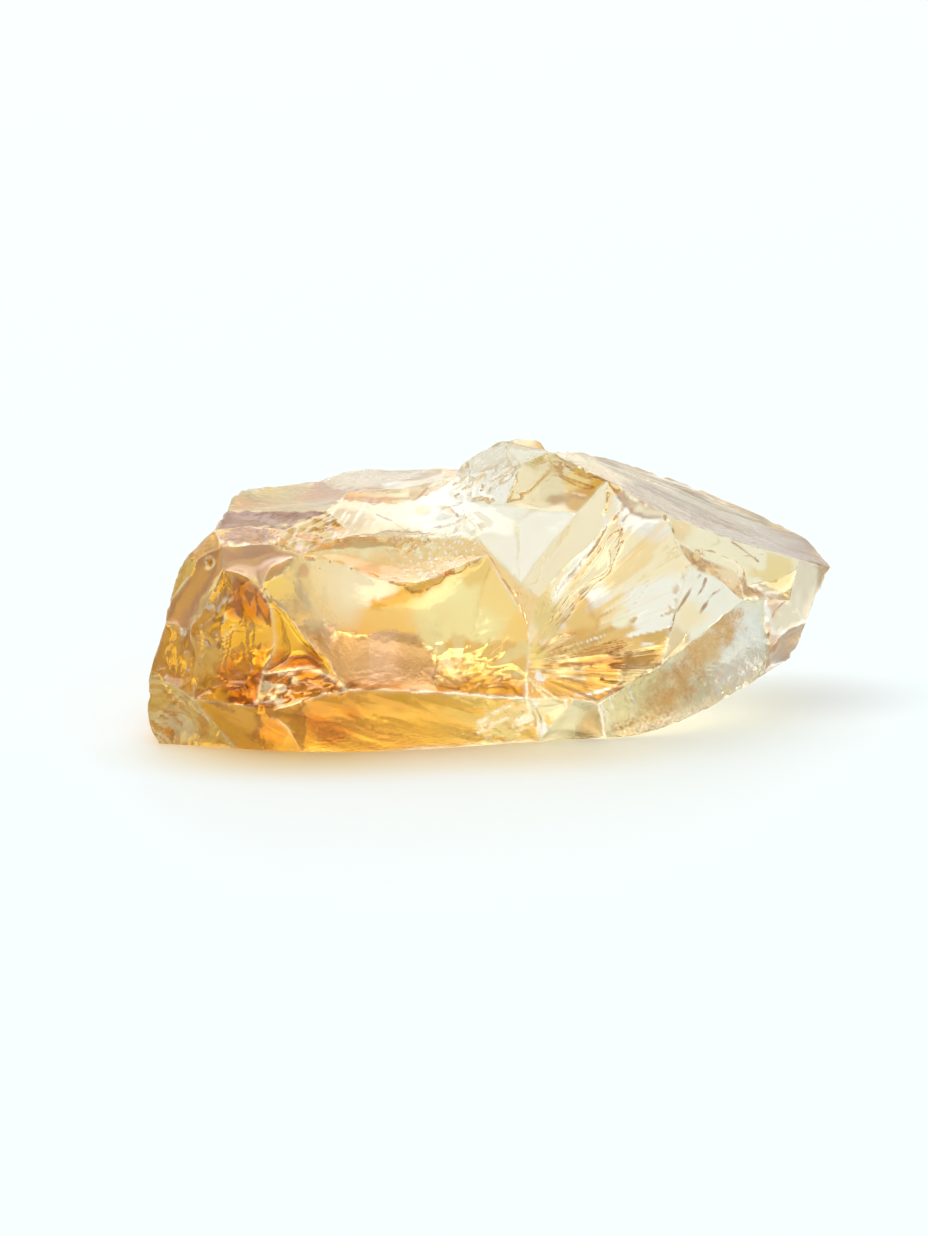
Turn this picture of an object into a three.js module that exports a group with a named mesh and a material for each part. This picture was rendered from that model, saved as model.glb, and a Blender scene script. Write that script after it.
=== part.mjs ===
// A piece of rough citrine: one clear, honey-coloured solid, broken on every side.
//
// Quartz has no cleavage, so it breaks along smooth shell-like fractures that meet in sharp ridges.
// The stone is a closed net of such facets. Its corners are where three or more fractures meet.
// A ridge is a smooth curve through its corners, and every other edge is straight. A facet is a disc
// whose rim follows the edges between its corners, and whose middle lies deeper by its hollow.
//
// Millimetres. +X is to the right along the length, +Y to the back, +Z up. The flat base is on Z = 0.
import * as THREE from "three";
import { mergeGeometries, mergeVertices } from "three/addons/utils/BufferGeometryUtils.js";

const STEP = 1.1; // length of the mesh edges, along a ridge and from ring to ring of a facet
const FINE_STEP = STEP / 4; // spacing of the rim points that shape the inside of a facet

const v = (x, y, z) => new THREE.Vector3(x, y, z);
const words = (text) => text.trim().split(/\s+/);

const corner = {
  // Outline of the flat base: the front from the left, then the far side from the right.
  footLeft: v(-17.1, -6.6, 0),
  footStep: v(-13.1, -7.5, 0),
  footFront: v(-9.7, -8.1, 0),
  footMiddle: v(-4.6, -7.8, 0),
  footRidge: v(2.6, -6.2, 0),
  footRight: v(6.0, -5.7, 0),
  footUnder: v(7.5, 4.5, 0),
  footBackRight: v(5.9, 6.2, 0),
  footBack: v(-1.7, 7.9, 0),
  footBackLeft: v(-10.2, 7.0, 0),
  footFarLeft: v(-15.8, 1.8, 0),

  // Left end, from the floor up.
  heelLow: v(-17.6, -6.4, 1.1),
  heel: v(-17.7, -5.8, 2.1),
  heelHigh: v(-17.6, -4.8, 3.4),
  flankLow: v(-16.9, -3.2, 5.6),
  flank: v(-16.7, -2.4, 6.6),
  flankHigh: v(-16.0, -1.0, 8.3),
  shoulder: v(-14.4, -0.3, 9.8),
  shoulderHigh: v(-14.0, 2.5, 10.2),
  sliverLow: v(-15.5, -2.2, 7.9),
  sliverHigh: v(-15.2, -1.8, 8.6),

  // Deep scoop in the left of the front.
  toe: v(-14.7, -7.0, 1.7),
  notchFoot: v(-15.3, -6.7, 2.4),
  notch: v(-15.3, -5.5, 4.4),
  notchTop: v(-15.5, -4.8, 5.6),
  notchEdge: v(-15.0, -4.4, 6.4),
  scoopLeft: v(-13.8, -3.2, 8.4),
  petalLow: v(-12.6, -3.6, 8.1),
  scoopTop: v(-11.8, -3.9, 7.5),
  scoopRimHigh: v(-10.6, -4.8, 6.5),
  scoopRim: v(-9.3, -5.8, 5.2),
  scoopRimLow: v(-7.4, -7.2, 3.0),
  sillRight: v(-9.1, -7.4, 2.7),
  sill: v(-10.5, -7.5, 2.2),
  sillLeft: v(-11.9, -7.3, 2.2),
  arc: v(-10.6, -7.8, 1.4),
  spineHigh: v(-11.3, -3.9, 6.4),
  spine: v(-11.1, -4.6, 4.8),
  spineLow: v(-11.7, -5.5, 3.4),
  flash: v(-9.1, -5.9, 3.8),

  // Small facets over the scoop.
  beltLeft: v(-14.0, -2.2, 9.4),
  beltMiddle: v(-12.2, -2.2, 9.5),
  beltRight: v(-11.2, -2.2, 9.5),
  petalRight: v(-11.4, -3.4, 8.5),

  // Shallow dish at the top of the front: its left end, its rim and its lower lip.
  dishLeft: v(-9.9, -2.6, 9.0),
  rimLeft: v(-8.3, -2.2, 9.7),
  rim: v(-5.2, -2.0, 9.9),
  rimRight: v(-2.0, -2.3, 9.9),
  rimEnd: v(-0.6, -3.0, 10.1),
  lipRight: v(-1.8, -3.9, 8.7),
  lip: v(-3.6, -4.2, 8.0),
  lipLeft: v(-5.9, -4.0, 8.1),
  lipEnd: v(-8.0, -3.1, 8.8),

  // Ridge between the amber front and the fan, and the foot of the front.
  ridgeHigh: v(-0.1, -3.7, 9.3),
  ridge: v(1.3, -5.0, 7.2),
  ridgeFork: v(1.9, -5.5, 5.8),
  ridgeFoot: v(1.9, -6.4, 2.3),
  band: v(-2.6, -7.0, 2.8),
  instep: v(4.4, -5.8, 2.1),

  // Low top on the left, with a slab standing over it.
  benchFront: v(-12.8, -0.2, 10.0),
  benchRight: v(-10.7, -0.8, 9.9),
  benchBack: v(-11.4, 1.2, 10.5),
  slabLeft: v(-8.6, 0.2, 10.7),
  slabNotch: v(-7.2, -1.6, 10.0),
  slabBackLeft: v(-7.4, 1.8, 11.3),
  slabBack: v(-4.7, 2.4, 11.5),
  slabBackRight: v(-2.3, 2.8, 11.8),
  slabCorner: v(-1.3, 2.0, 11.9),
  slabEnd: v(-1.1, 0.2, 11.2),
  ledgeLeft: v(-7.6, 2.6, 10.7),
  ledge: v(-4.7, 3.4, 10.8),
  ledgeRight: v(-2.0, 4.4, 11.0),
  topLeft: v(-13.4, 5.0, 10.6),
  topBackLeft: v(-12.5, 6.5, 10.5),
  topBack: v(-9.2, 8.0, 10.5),
  topHump: v(-7.8, 8.5, 10.9),
  topBackRight: v(-2.6, 8.8, 11.0),
  saddle: v(3.0, 8.2, 10.8),

  // Crest.
  crestTail: v(-1.5, 2.6, 12.7),
  crestLeft: v(-0.1, 1.2, 13.9),
  crestTopLeft: v(0.7, 1.0, 14.3),
  crestTop: v(2.4, 0.9, 14.4),
  crestRight: v(3.2, 0.6, 13.8),
  crestFace: v(1.6, 0.0, 13.3),

  // Window under the crest, and the wedge and the narrow facet beside it.
  windowTop: v(0.8, -0.6, 11.2),
  windowRight: v(4.5, -2.0, 11.1),
  windowSide: v(3.1, -3.1, 9.7),
  windowLow: v(1.6, -4.0, 7.9),
  wedgeFoot: v(2.5, -4.2, 7.2),
  wedgeLow: v(3.8, -3.7, 8.6),
  wedgeHigh: v(5.8, -2.6, 10.4),

  // Fan: the big hollow on the right of the front.
  fanTop: v(6.2, -1.6, 12.8),
  fanRight: v(9.2, -1.6, 11.0),
  chipHigh: v(9.8, -2.1, 9.7),
  chip: v(10.5, -2.6, 8.6),
  chipLow: v(12.3, -2.8, 7.5),
  fanCorner: v(13.3, -3.0, 6.7),
  stepHigh: v(11.1, -1.9, 8.8),
  stepLow: v(13.0, -1.9, 7.8),

  // Long slope behind the fan, down to the right tip.
  slopeMiddle: v(12.1, -0.6, 9.6),
  slopeEnd: v(16.5, 1.0, 7.9),
  tip: v(18.2, 2.0, 7.3),
  slopeBackEnd: v(16.8, 4.6, 8.2),
  slopeBackLow: v(12.5, 5.4, 10.2),
  slopeBack: v(8.1, 4.2, 12.1),
  slopeBackHigh: v(4.8, 2.6, 13.3),

  // Frosted facet and the small facets of the right end, which stand clear of the floor.
  frostLeft: v(5.7, -5.6, 1.8),
  frost: v(8.9, -4.6, 3.6),
  frostTop: v(14.4, -2.2, 6.5),
  underLeft: v(7.8, -5.3, 0.1),
  under: v(11.0, -4.2, 1.0),
  underRight: v(14.2, -2.4, 2.4),
  endFoot: v(16.0, -1.0, 3.2),
  endFront: v(14.7, -2.0, 3.6),
  endLow: v(16.8, 0.0, 4.7),
  endTop: v(15.9, -1.0, 6.2),

  // Far side.
  backEnd: v(17.4, 7.9, 5.1),
  backRight: v(11.6, 7.6, 7.6),
  back: v(6.7, 9.7, 10.2),
  backMiddle: v(-4.0, 9.8, 5.0),
  backLeft: v(-11.0, 8.6, 5.4),
  backFarLeft: v(-15.8, 5.0, 4.6),
  leftBulge: v(-17.3, 0.2, 3.2),
};

// Smooth ridges through several corners.
const ridges = [
  "footStep footFront footMiddle footRidge",
  "footLeft heelLow heel heelHigh flankLow flank flankHigh shoulder",
  "shoulder shoulderHigh topLeft topBackLeft topBack topHump topBackRight saddle",
  "scoopLeft notchEdge notchTop notch notchFoot",
  "notchFoot sillLeft sill sillRight scoopRimLow",
  "scoopTop scoopRimHigh scoopRim scoopRimLow",
  "scoopTop spineHigh spine spineLow sillLeft",
  "spineLow flash scoopRimLow",
  "sillLeft arc footFront",
  "notchFoot toe footStep",
  "beltLeft beltMiddle beltRight",
  "scoopLeft petalLow scoopTop",
  "scoopTop petalRight dishLeft",
  "flank sliverLow sliverHigh beltLeft",
  "dishLeft rimLeft rim rimRight rimEnd",
  "dishLeft lipEnd lipLeft lip lipRight ridgeHigh",
  "rimEnd ridgeHigh ridge ridgeFork ridgeFoot",
  "scoopRimLow band ridgeFoot instep frostLeft",
  "slabLeft slabBackLeft slabBack slabBackRight slabCorner",
  "slabLeft ledgeLeft ledge ledgeRight",
  "crestTail crestLeft crestTopLeft crestTop crestRight",
  "windowLow windowSide windowRight",
  "wedgeFoot wedgeLow wedgeHigh fanTop",
  "crestRight slopeBackHigh slopeBack slopeBackLow slopeBackEnd tip",
  "crestRight fanTop fanRight slopeMiddle slopeEnd tip",
  "fanRight chipHigh chip chipLow fanCorner frostTop endTop",
  "chipHigh stepHigh stepLow fanCorner",
  "frostLeft frost fanCorner",
  "footRight underLeft under underRight endFoot endLow tip",
  "underRight endFront frostTop",
].map(words);

// Facets: corners in order, anticlockwise as seen from outside, and how deep the middle lies.
const facets = [
  // Base.
  { hollow: 0, loop: `footLeft footFarLeft footBackLeft footBack footBackRight footUnder
    footRight footRidge footMiddle footFront footStep` },

  // Left end.
  { hollow: 0.3, loop: "footLeft footStep toe notchFoot heelHigh heel heelLow" },
  { hollow: 0.4, loop: "notchFoot notch notchTop flankLow heelHigh" },
  { hollow: 0.3, loop: "flankLow notchTop notchEdge scoopLeft beltLeft sliverHigh sliverLow flank" },
  { hollow: 0.05, loop: "flank sliverLow sliverHigh flankHigh" },
  { hollow: 0.05, loop: "sliverHigh beltLeft shoulder flankHigh" },
  { hollow: 0.8, loop: `flankLow flank flankHigh shoulder shoulderHigh topLeft
    backFarLeft leftBulge` },
  { hollow: 0.3, loop: "footLeft heelLow heel heelHigh flankLow leftBulge footFarLeft" },
  { hollow: 0.2, loop: "leftBulge backFarLeft footFarLeft" },

  // Front.
  { hollow: 1.4, loop: `notchTop notch notchFoot sillLeft spineLow spine spineHigh scoopTop
    petalLow scoopLeft notchEdge` },
  { hollow: 1.0, loop: "scoopTop spineHigh spine spineLow flash scoopRimLow scoopRim scoopRimHigh" },
  { hollow: 0.2, loop: "spineLow sillLeft sill sillRight scoopRimLow flash" },
  { hollow: 0.1, loop: "footStep footFront arc sillLeft notchFoot toe" },
  { hollow: 0.3, loop: `footFront footMiddle footRidge ridgeFoot band scoopRimLow sillRight sill
    sillLeft arc` },
  { hollow: 0.8, loop: `scoopRimLow band ridgeFoot ridgeFork ridge ridgeHigh lipRight lip lipLeft
    lipEnd dishLeft petalRight scoopTop scoopRimHigh scoopRim` },
  { hollow: 0.3, loop: `scoopLeft petalLow scoopTop petalRight dishLeft beltRight beltMiddle
    beltLeft` },
  { hollow: 0.1, loop: "beltLeft beltMiddle beltRight benchRight benchFront shoulder" },
  { hollow: 0.4, loop: `dishLeft lipEnd lipLeft lip lipRight ridgeHigh rimEnd rimRight rim
    rimLeft` },

  // Low top.
  { hollow: 0.2, loop: "beltRight dishLeft rimLeft slabNotch slabLeft benchRight" },
  { hollow: 0.3, loop: `rimLeft rim rimRight rimEnd slabEnd slabCorner slabBackRight slabBack
    slabBackLeft slabLeft slabNotch` },
  { hollow: 0.02, loop: "slabLeft slabBackLeft ledgeLeft" },
  { hollow: 0.05, loop: "slabBackLeft slabBack ledge ledgeLeft" },
  { hollow: 0.05, loop: "slabBack slabBackRight ledgeRight ledge" },
  { hollow: 0.1, loop: "slabBackRight slabCorner crestTail ledgeRight" },
  { hollow: 0.1, loop: "shoulder benchFront benchRight slabLeft benchBack shoulderHigh" },
  { hollow: 0.5, loop: `shoulderHigh benchBack slabLeft ledgeLeft ledge ledgeRight topBackRight
    topHump topBack topBackLeft topLeft` },

  // Crest.
  { hollow: 0.2, loop: `slabEnd windowTop crestFace crestTopLeft crestLeft crestTail
    slabCorner` },
  { hollow: 0.3, loop: "windowTop windowRight fanTop crestRight crestFace" },
  { hollow: 0.05, loop: "crestFace crestRight crestTop crestTopLeft" },
  { hollow: 0.3, loop: "crestTail crestLeft crestTopLeft saddle topBackRight ledgeRight" },
  { hollow: 0.4, loop: "crestTopLeft crestTop crestRight slopeBackHigh slopeBack saddle" },

  // Window, wedge and narrow facet.
  { hollow: 0.15, loop: "rimEnd windowLow windowSide windowRight windowTop slabEnd" },
  { hollow: 0.1, loop: `windowLow wedgeFoot wedgeLow wedgeHigh fanTop windowRight
    windowSide` },
  { hollow: 0.15, loop: "rimEnd ridgeHigh ridge ridgeFork wedgeFoot windowLow" },

  // Fan and the facets round it.
  { hollow: 1.2, loop: `ridgeFoot instep frostLeft frost chip chipHigh fanRight fanTop wedgeHigh
    wedgeLow wedgeFoot ridgeFork` },
  { hollow: 0.1, loop: "frost fanCorner chipLow chip" },
  { hollow: 0.05, loop: "chipHigh chip chipLow fanCorner stepLow stepHigh" },
  { hollow: 0.3, loop: `fanCorner frostTop endTop slopeEnd slopeMiddle fanRight chipHigh
    stepHigh stepLow` },
  { hollow: 0.1, loop: "ridgeFoot footRidge instep" },
  { hollow: 0.15, loop: "footRidge footRight frostLeft instep" },

  // Right end.
  { hollow: 0.25, loop: `footRight underLeft under underRight endFront frostTop fanCorner frost
    frostLeft` },
  { hollow: 0.15, loop: "underRight endFoot endLow endTop frostTop endFront" },
  { hollow: 0.1, loop: "endTop endLow tip slopeEnd" },
  { hollow: 0.3, loop: `fanTop fanRight slopeMiddle slopeEnd tip slopeBackEnd slopeBackLow
    slopeBack slopeBackHigh crestRight` },
  { hollow: 0.4, loop: `endLow endFoot underRight under underLeft footRight footUnder
    backEnd` },
  { hollow: 0.2, loop: "tip endLow backEnd slopeBackEnd" },

  // Far side.
  { hollow: 0.5, loop: "slopeBackLow slopeBackEnd backEnd backRight" },
  { hollow: 0.7, loop: "saddle slopeBack slopeBackLow backRight back" },
  { hollow: 0.4, loop: "backRight backEnd footUnder footBackRight" },
  { hollow: 0.5, loop: "back backRight footBackRight footBack" },
  { hollow: 0.6, loop: "topBackRight saddle back backMiddle" },
  { hollow: 0.4, loop: "backMiddle back footBack footBackLeft backLeft" },
  { hollow: 0.7, loop: "topBack topHump topBackRight backMiddle backLeft" },
  { hollow: 0.4, loop: "topLeft topBackLeft topBack backLeft backFarLeft" },
  { hollow: 0.4, loop: "backFarLeft backLeft footBackLeft footFarLeft" },
];

// Where each edge lies: the curve that it is on and the curve's parameters at its two ends.
const spans = new Map();
for (const names of ridges) {
  const curve = new THREE.CatmullRomCurve3(names.map((name) => corner[name]));
  for (let i = 1; i < names.length; i++) {
    const ends = [(i - 1) / (names.length - 1), i / (names.length - 1)];
    spans.set(`${names[i - 1]} ${names[i]}`, { curve, ends });
    spans.set(`${names[i]} ${names[i - 1]}`, { curve, ends: ends.toReversed() });
  }
}

// Points along the edge from one corner to the next, without the last. Both ways give the same.
function edge(from, to, step) {
  const straight = { curve: new THREE.LineCurve3(corner[from], corner[to]), ends: [0, 1] };
  const { curve, ends } = spans.get(`${from} ${to}`) ?? straight;
  const count = Math.max(1, Math.round(corner[from].distanceTo(corner[to]) / step));
  return Array.from({ length: count }, (_, i) => curve.getPoint(THREE.MathUtils.lerp(...ends, i / count)));
}

// Points all the way round a facet.
const around = (names, step) =>
  names.flatMap((name, i) => edge(name, names[(i + 1) % names.length], step));

// A facet's surface: a flat disc of rings, bent so that its rim follows the facet's edges.
function surface({ hollow, loop }) {
  const rim = around(words(loop), STEP);
  const middle = rim.reduce((sum, point) => sum.add(point), v(0, 0, 0)).divideScalar(rim.length);
  const spokes = rim.map((point) => point.clone().sub(middle));
  const out = v(0, 0, 0);
  spokes.forEach((spoke, i) => out.add(spoke.clone().cross(spokes[(i + 1) % rim.length])));
  out.normalize();
  const flatten = (spoke) => spoke.clone().projectOnPlane(out);

  // Inside the rim, near rim points count most: their rises over the plane are averaged, and the
  // hollow grows with the distance from them.
  const fineSpokes = around(words(loop), FINE_STEP).map((point) => point.sub(middle));
  const nearby = fineSpokes.map((spoke) => ({ flat: flatten(spoke), rise: spoke.dot(out) }));
  const blend = (flat) => {
    const weights = nearby.map((other) => flat.distanceTo(other.flat) ** -3);
    const total = weights.reduce((sum, weight) => sum + weight);
    const rise = weights.reduce((sum, weight, i) => sum + weight * nearby[i].rise, 0) / total;
    return { rise, depth: total ** -0.5 };
  };
  const deepest = blend(v(0, 0, 0)).depth;

  const radius = spokes.reduce((sum, spoke) => sum + spoke.length(), 0) / rim.length;
  const rings = Math.max(2, Math.round(radius / STEP));
  const disc = mergeGeometries([
    new THREE.CircleGeometry(1 / rings, rim.length),
    new THREE.RingGeometry(1 / rings, 1, rim.length, rings - 1),
  ]);
  const place = disc.getAttribute("position");
  for (let i = 0; i < place.count; i++) {
    const turn = Math.atan2(place.getY(i), place.getX(i)) / (2 * Math.PI);
    const index = Math.round((turn + 1) * rim.length) % rim.length;
    const ring = Math.round(Math.hypot(place.getX(i), place.getY(i)) * rings);
    const point = rim[index].clone();
    if (ring < rings) {
      const flat = flatten(spokes[index]).multiplyScalar(ring / rings);
      const { rise, depth } = blend(flat);
      point.copy(middle).add(flat).addScaledVector(out, rise - (hollow * depth) / deepest);
    }
    place.setXYZ(i, point.x, point.y, point.z);
  }
  return disc;
}

// All facets joined along their edges, with the origin under the middle of the stone.
function stone() {
  const joined = mergeGeometries(facets.map(surface));
  joined.deleteAttribute("normal");
  joined.deleteAttribute("uv");
  const middle = new THREE.Box3().setFromPoints(Object.values(corner)).getCenter(v(0, 0, 0));
  return mergeVertices(joined, 1e-4).translate(-middle.x, -middle.y, 0);
}

const citrine = new THREE.Mesh(
  stone(),
  new THREE.MeshStandardMaterial({ color: 0xe9b44c, roughness: 0.05, metalness: 0, flatShading: true }),
);
citrine.name = "citrine";

const group = new THREE.Group();
group.add(citrine);
export default group;
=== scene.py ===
"""Rough citrine crystal: one clear amber stone with conchoidal facets, on a pale floor.

Lengths are millimetres in the frame of the part's source, before it centres the stone: X to the
right, Y away from the camera, Z up. The mesh is centred and scaled to metres at the end.
"""
import math

import bpy
import numpy as np
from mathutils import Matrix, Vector
from mathutils.geometry import delaunay_2d_cdt


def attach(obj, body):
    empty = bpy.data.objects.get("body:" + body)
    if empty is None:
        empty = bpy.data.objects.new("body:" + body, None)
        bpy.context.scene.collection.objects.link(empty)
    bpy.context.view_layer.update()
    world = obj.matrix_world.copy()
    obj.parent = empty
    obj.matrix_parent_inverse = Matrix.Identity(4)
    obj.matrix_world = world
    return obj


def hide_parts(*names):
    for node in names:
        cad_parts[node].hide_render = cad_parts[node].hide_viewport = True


MM = 0.001

# The solid's named corners, its curved ridges, and its facets: (hollow, corners anticlockwise as
# seen from outside). They repeat the part's source.
CORNERS = {
    # Outline of the flat base: the front from the left, then the far side from the right.
    "foot_left": (-17.1, -6.6, 0),
    "foot_step": (-13.1, -7.5, 0),
    "foot_front": (-9.7, -8.1, 0),
    "foot_middle": (-4.6, -7.8, 0),
    "foot_ridge": (2.6, -6.2, 0),
    "foot_right": (6.0, -5.7, 0),
    "foot_under": (7.5, 4.5, 0),
    "foot_back_right": (5.9, 6.2, 0),
    "foot_back": (-1.7, 7.9, 0),
    "foot_back_left": (-10.2, 7.0, 0),
    "foot_far_left": (-15.8, 1.8, 0),
    # Left end, from the floor up.
    "heel_low": (-17.6, -6.4, 1.1),
    "heel": (-17.7, -5.8, 2.1),
    "heel_high": (-17.6, -4.8, 3.4),
    "flank_low": (-16.9, -3.2, 5.6),
    "flank": (-16.7, -2.4, 6.6),
    "flank_high": (-16.0, -1.0, 8.3),
    "shoulder": (-14.4, -0.3, 9.8),
    "shoulder_high": (-14.0, 2.5, 10.2),
    "sliver_low": (-15.5, -2.2, 7.9),
    "sliver_high": (-15.2, -1.8, 8.6),
    # Deep scoop in the left of the front.
    "toe": (-14.7, -7.0, 1.7),
    "notch_foot": (-15.3, -6.7, 2.4),
    "notch": (-15.3, -5.5, 4.4),
    "notch_top": (-15.5, -4.8, 5.6),
    "notch_edge": (-15.0, -4.4, 6.4),
    "scoop_left": (-13.8, -3.2, 8.4),
    "petal_low": (-12.6, -3.6, 8.1),
    "scoop_top": (-11.8, -3.9, 7.5),
    "scoop_rim_high": (-10.6, -4.8, 6.5),
    "scoop_rim": (-9.3, -5.8, 5.2),
    "scoop_rim_low": (-7.4, -7.2, 3.0),
    "sill_right": (-9.1, -7.4, 2.7),
    "sill": (-10.5, -7.5, 2.2),
    "sill_left": (-11.9, -7.3, 2.2),
    "arc": (-10.6, -7.8, 1.4),
    "spine_high": (-11.3, -3.9, 6.4),
    "spine": (-11.1, -4.6, 4.8),
    "spine_low": (-11.7, -5.5, 3.4),
    "flash": (-9.1, -5.9, 3.8),
    # Small facets over the scoop.
    "belt_left": (-14.0, -2.2, 9.4),
    "belt_middle": (-12.2, -2.2, 9.5),
    "belt_right": (-11.2, -2.2, 9.5),
    "petal_right": (-11.4, -3.4, 8.5),
    # Shallow dish at the top of the front: its left end, its rim and its lower lip.
    "dish_left": (-9.9, -2.6, 9.0),
    "rim_left": (-8.3, -2.2, 9.7),
    "rim": (-5.2, -2.0, 9.9),
    "rim_right": (-2.0, -2.3, 9.9),
    "rim_end": (-0.6, -3.0, 10.1),
    "lip_right": (-1.8, -3.9, 8.7),
    "lip": (-3.6, -4.2, 8.0),
    "lip_left": (-5.9, -4.0, 8.1),
    "lip_end": (-8.0, -3.1, 8.8),
    # Ridge between the amber front and the fan, and the foot of the front.
    "ridge_high": (-0.1, -3.7, 9.3),
    "ridge": (1.3, -5.0, 7.2),
    "ridge_fork": (1.9, -5.5, 5.8),
    "ridge_foot": (1.9, -6.4, 2.3),
    "band": (-2.6, -7.0, 2.8),
    "instep": (4.4, -5.8, 2.1),
    # Low top on the left, with a slab standing over it.
    "bench_front": (-12.8, -0.2, 10.0),
    "bench_right": (-10.7, -0.8, 9.9),
    "bench_back": (-11.4, 1.2, 10.5),
    "slab_left": (-8.6, 0.2, 10.7),
    "slab_notch": (-7.2, -1.6, 10.0),
    "slab_back_left": (-7.4, 1.8, 11.3),
    "slab_back": (-4.7, 2.4, 11.5),
    "slab_back_right": (-2.3, 2.8, 11.8),
    "slab_corner": (-1.3, 2.0, 11.9),
    "slab_end": (-1.1, 0.2, 11.2),
    "ledge_left": (-7.6, 2.6, 10.7),
    "ledge": (-4.7, 3.4, 10.8),
    "ledge_right": (-2.0, 4.4, 11.0),
    "top_left": (-13.4, 5.0, 10.6),
    "top_back_left": (-12.5, 6.5, 10.5),
    "top_back": (-9.2, 8.0, 10.5),
    "top_hump": (-7.8, 8.5, 10.9),
    "top_back_right": (-2.6, 8.8, 11.0),
    "saddle": (3.0, 8.2, 10.8),
    # Crest.
    "crest_tail": (-1.5, 2.6, 12.7),
    "crest_left": (-0.1, 1.2, 13.9),
    "crest_top_left": (0.7, 1.0, 14.3),
    "crest_top": (2.4, 0.9, 14.4),
    "crest_right": (3.2, 0.6, 13.8),
    "crest_face": (1.6, 0.0, 13.3),
    # Window under the crest, and the wedge and the narrow facet beside it.
    "window_top": (0.8, -0.6, 11.2),
    "window_right": (4.5, -2.0, 11.1),
    "window_side": (3.1, -3.1, 9.7),
    "window_low": (1.6, -4.0, 7.9),
    "wedge_foot": (2.5, -4.2, 7.2),
    "wedge_low": (3.8, -3.7, 8.6),
    "wedge_high": (5.8, -2.6, 10.4),
    # Fan: the big hollow on the right of the front.
    "fan_top": (6.2, -1.6, 12.8),
    "fan_right": (9.2, -1.6, 11.0),
    "chip_high": (9.8, -2.1, 9.7),
    "chip": (10.5, -2.6, 8.6),
    "chip_low": (12.3, -2.8, 7.5),
    "fan_corner": (13.3, -3.0, 6.7),
    "step_high": (11.1, -1.9, 8.8),
    "step_low": (13.0, -1.9, 7.8),
    # Long slope behind the fan, down to the right tip.
    "slope_middle": (12.1, -0.6, 9.6),
    "slope_end": (16.5, 1.0, 7.9),
    "tip": (18.2, 2.0, 7.3),
    "slope_back_end": (16.8, 4.6, 8.2),
    "slope_back_low": (12.5, 5.4, 10.2),
    "slope_back": (8.1, 4.2, 12.1),
    "slope_back_high": (4.8, 2.6, 13.3),
    # Frosted facet and the small facets of the right end, which stand clear of the floor.
    "frost_left": (5.7, -5.6, 1.8),
    "frost": (8.9, -4.6, 3.6),
    "frost_top": (14.4, -2.2, 6.5),
    "under_left": (7.8, -5.3, 0.1),
    "under": (11.0, -4.2, 1.0),
    "under_right": (14.2, -2.4, 2.4),
    "end_foot": (16.0, -1.0, 3.2),
    "end_front": (14.7, -2.0, 3.6),
    "end_low": (16.8, 0.0, 4.7),
    "end_top": (15.9, -1.0, 6.2),
    # Far side.
    "back_end": (17.4, 7.9, 5.1),
    "back_right": (11.6, 7.6, 7.6),
    "back": (6.7, 9.7, 10.2),
    "back_middle": (-4.0, 9.8, 5.0),
    "back_left": (-11.0, 8.6, 5.4),
    "back_far_left": (-15.8, 5.0, 4.6),
    "left_bulge": (-17.3, 0.2, 3.2),
}

RIDGES = [
    "foot_step foot_front foot_middle foot_ridge",
    "foot_left heel_low heel heel_high flank_low flank flank_high shoulder",
    "shoulder shoulder_high top_left top_back_left top_back top_hump top_back_right saddle",
    "scoop_left notch_edge notch_top notch notch_foot",
    "notch_foot sill_left sill sill_right scoop_rim_low",
    "scoop_top scoop_rim_high scoop_rim scoop_rim_low",
    "scoop_top spine_high spine spine_low sill_left",
    "spine_low flash scoop_rim_low",
    "sill_left arc foot_front",
    "notch_foot toe foot_step",
    "belt_left belt_middle belt_right",
    "scoop_left petal_low scoop_top",
    "scoop_top petal_right dish_left",
    "flank sliver_low sliver_high belt_left",
    "dish_left rim_left rim rim_right rim_end",
    "dish_left lip_end lip_left lip lip_right ridge_high",
    "rim_end ridge_high ridge ridge_fork ridge_foot",
    "scoop_rim_low band ridge_foot instep frost_left",
    "slab_left slab_back_left slab_back slab_back_right slab_corner",
    "slab_left ledge_left ledge ledge_right",
    "crest_tail crest_left crest_top_left crest_top crest_right",
    "window_low window_side window_right",
    "wedge_foot wedge_low wedge_high fan_top",
    "crest_right slope_back_high slope_back slope_back_low slope_back_end tip",
    "crest_right fan_top fan_right slope_middle slope_end tip",
    "fan_right chip_high chip chip_low fan_corner frost_top end_top",
    "chip_high step_high step_low fan_corner",
    "frost_left frost fan_corner",
    "foot_right under_left under under_right end_foot end_low tip",
    "under_right end_front frost_top",
]

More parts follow.
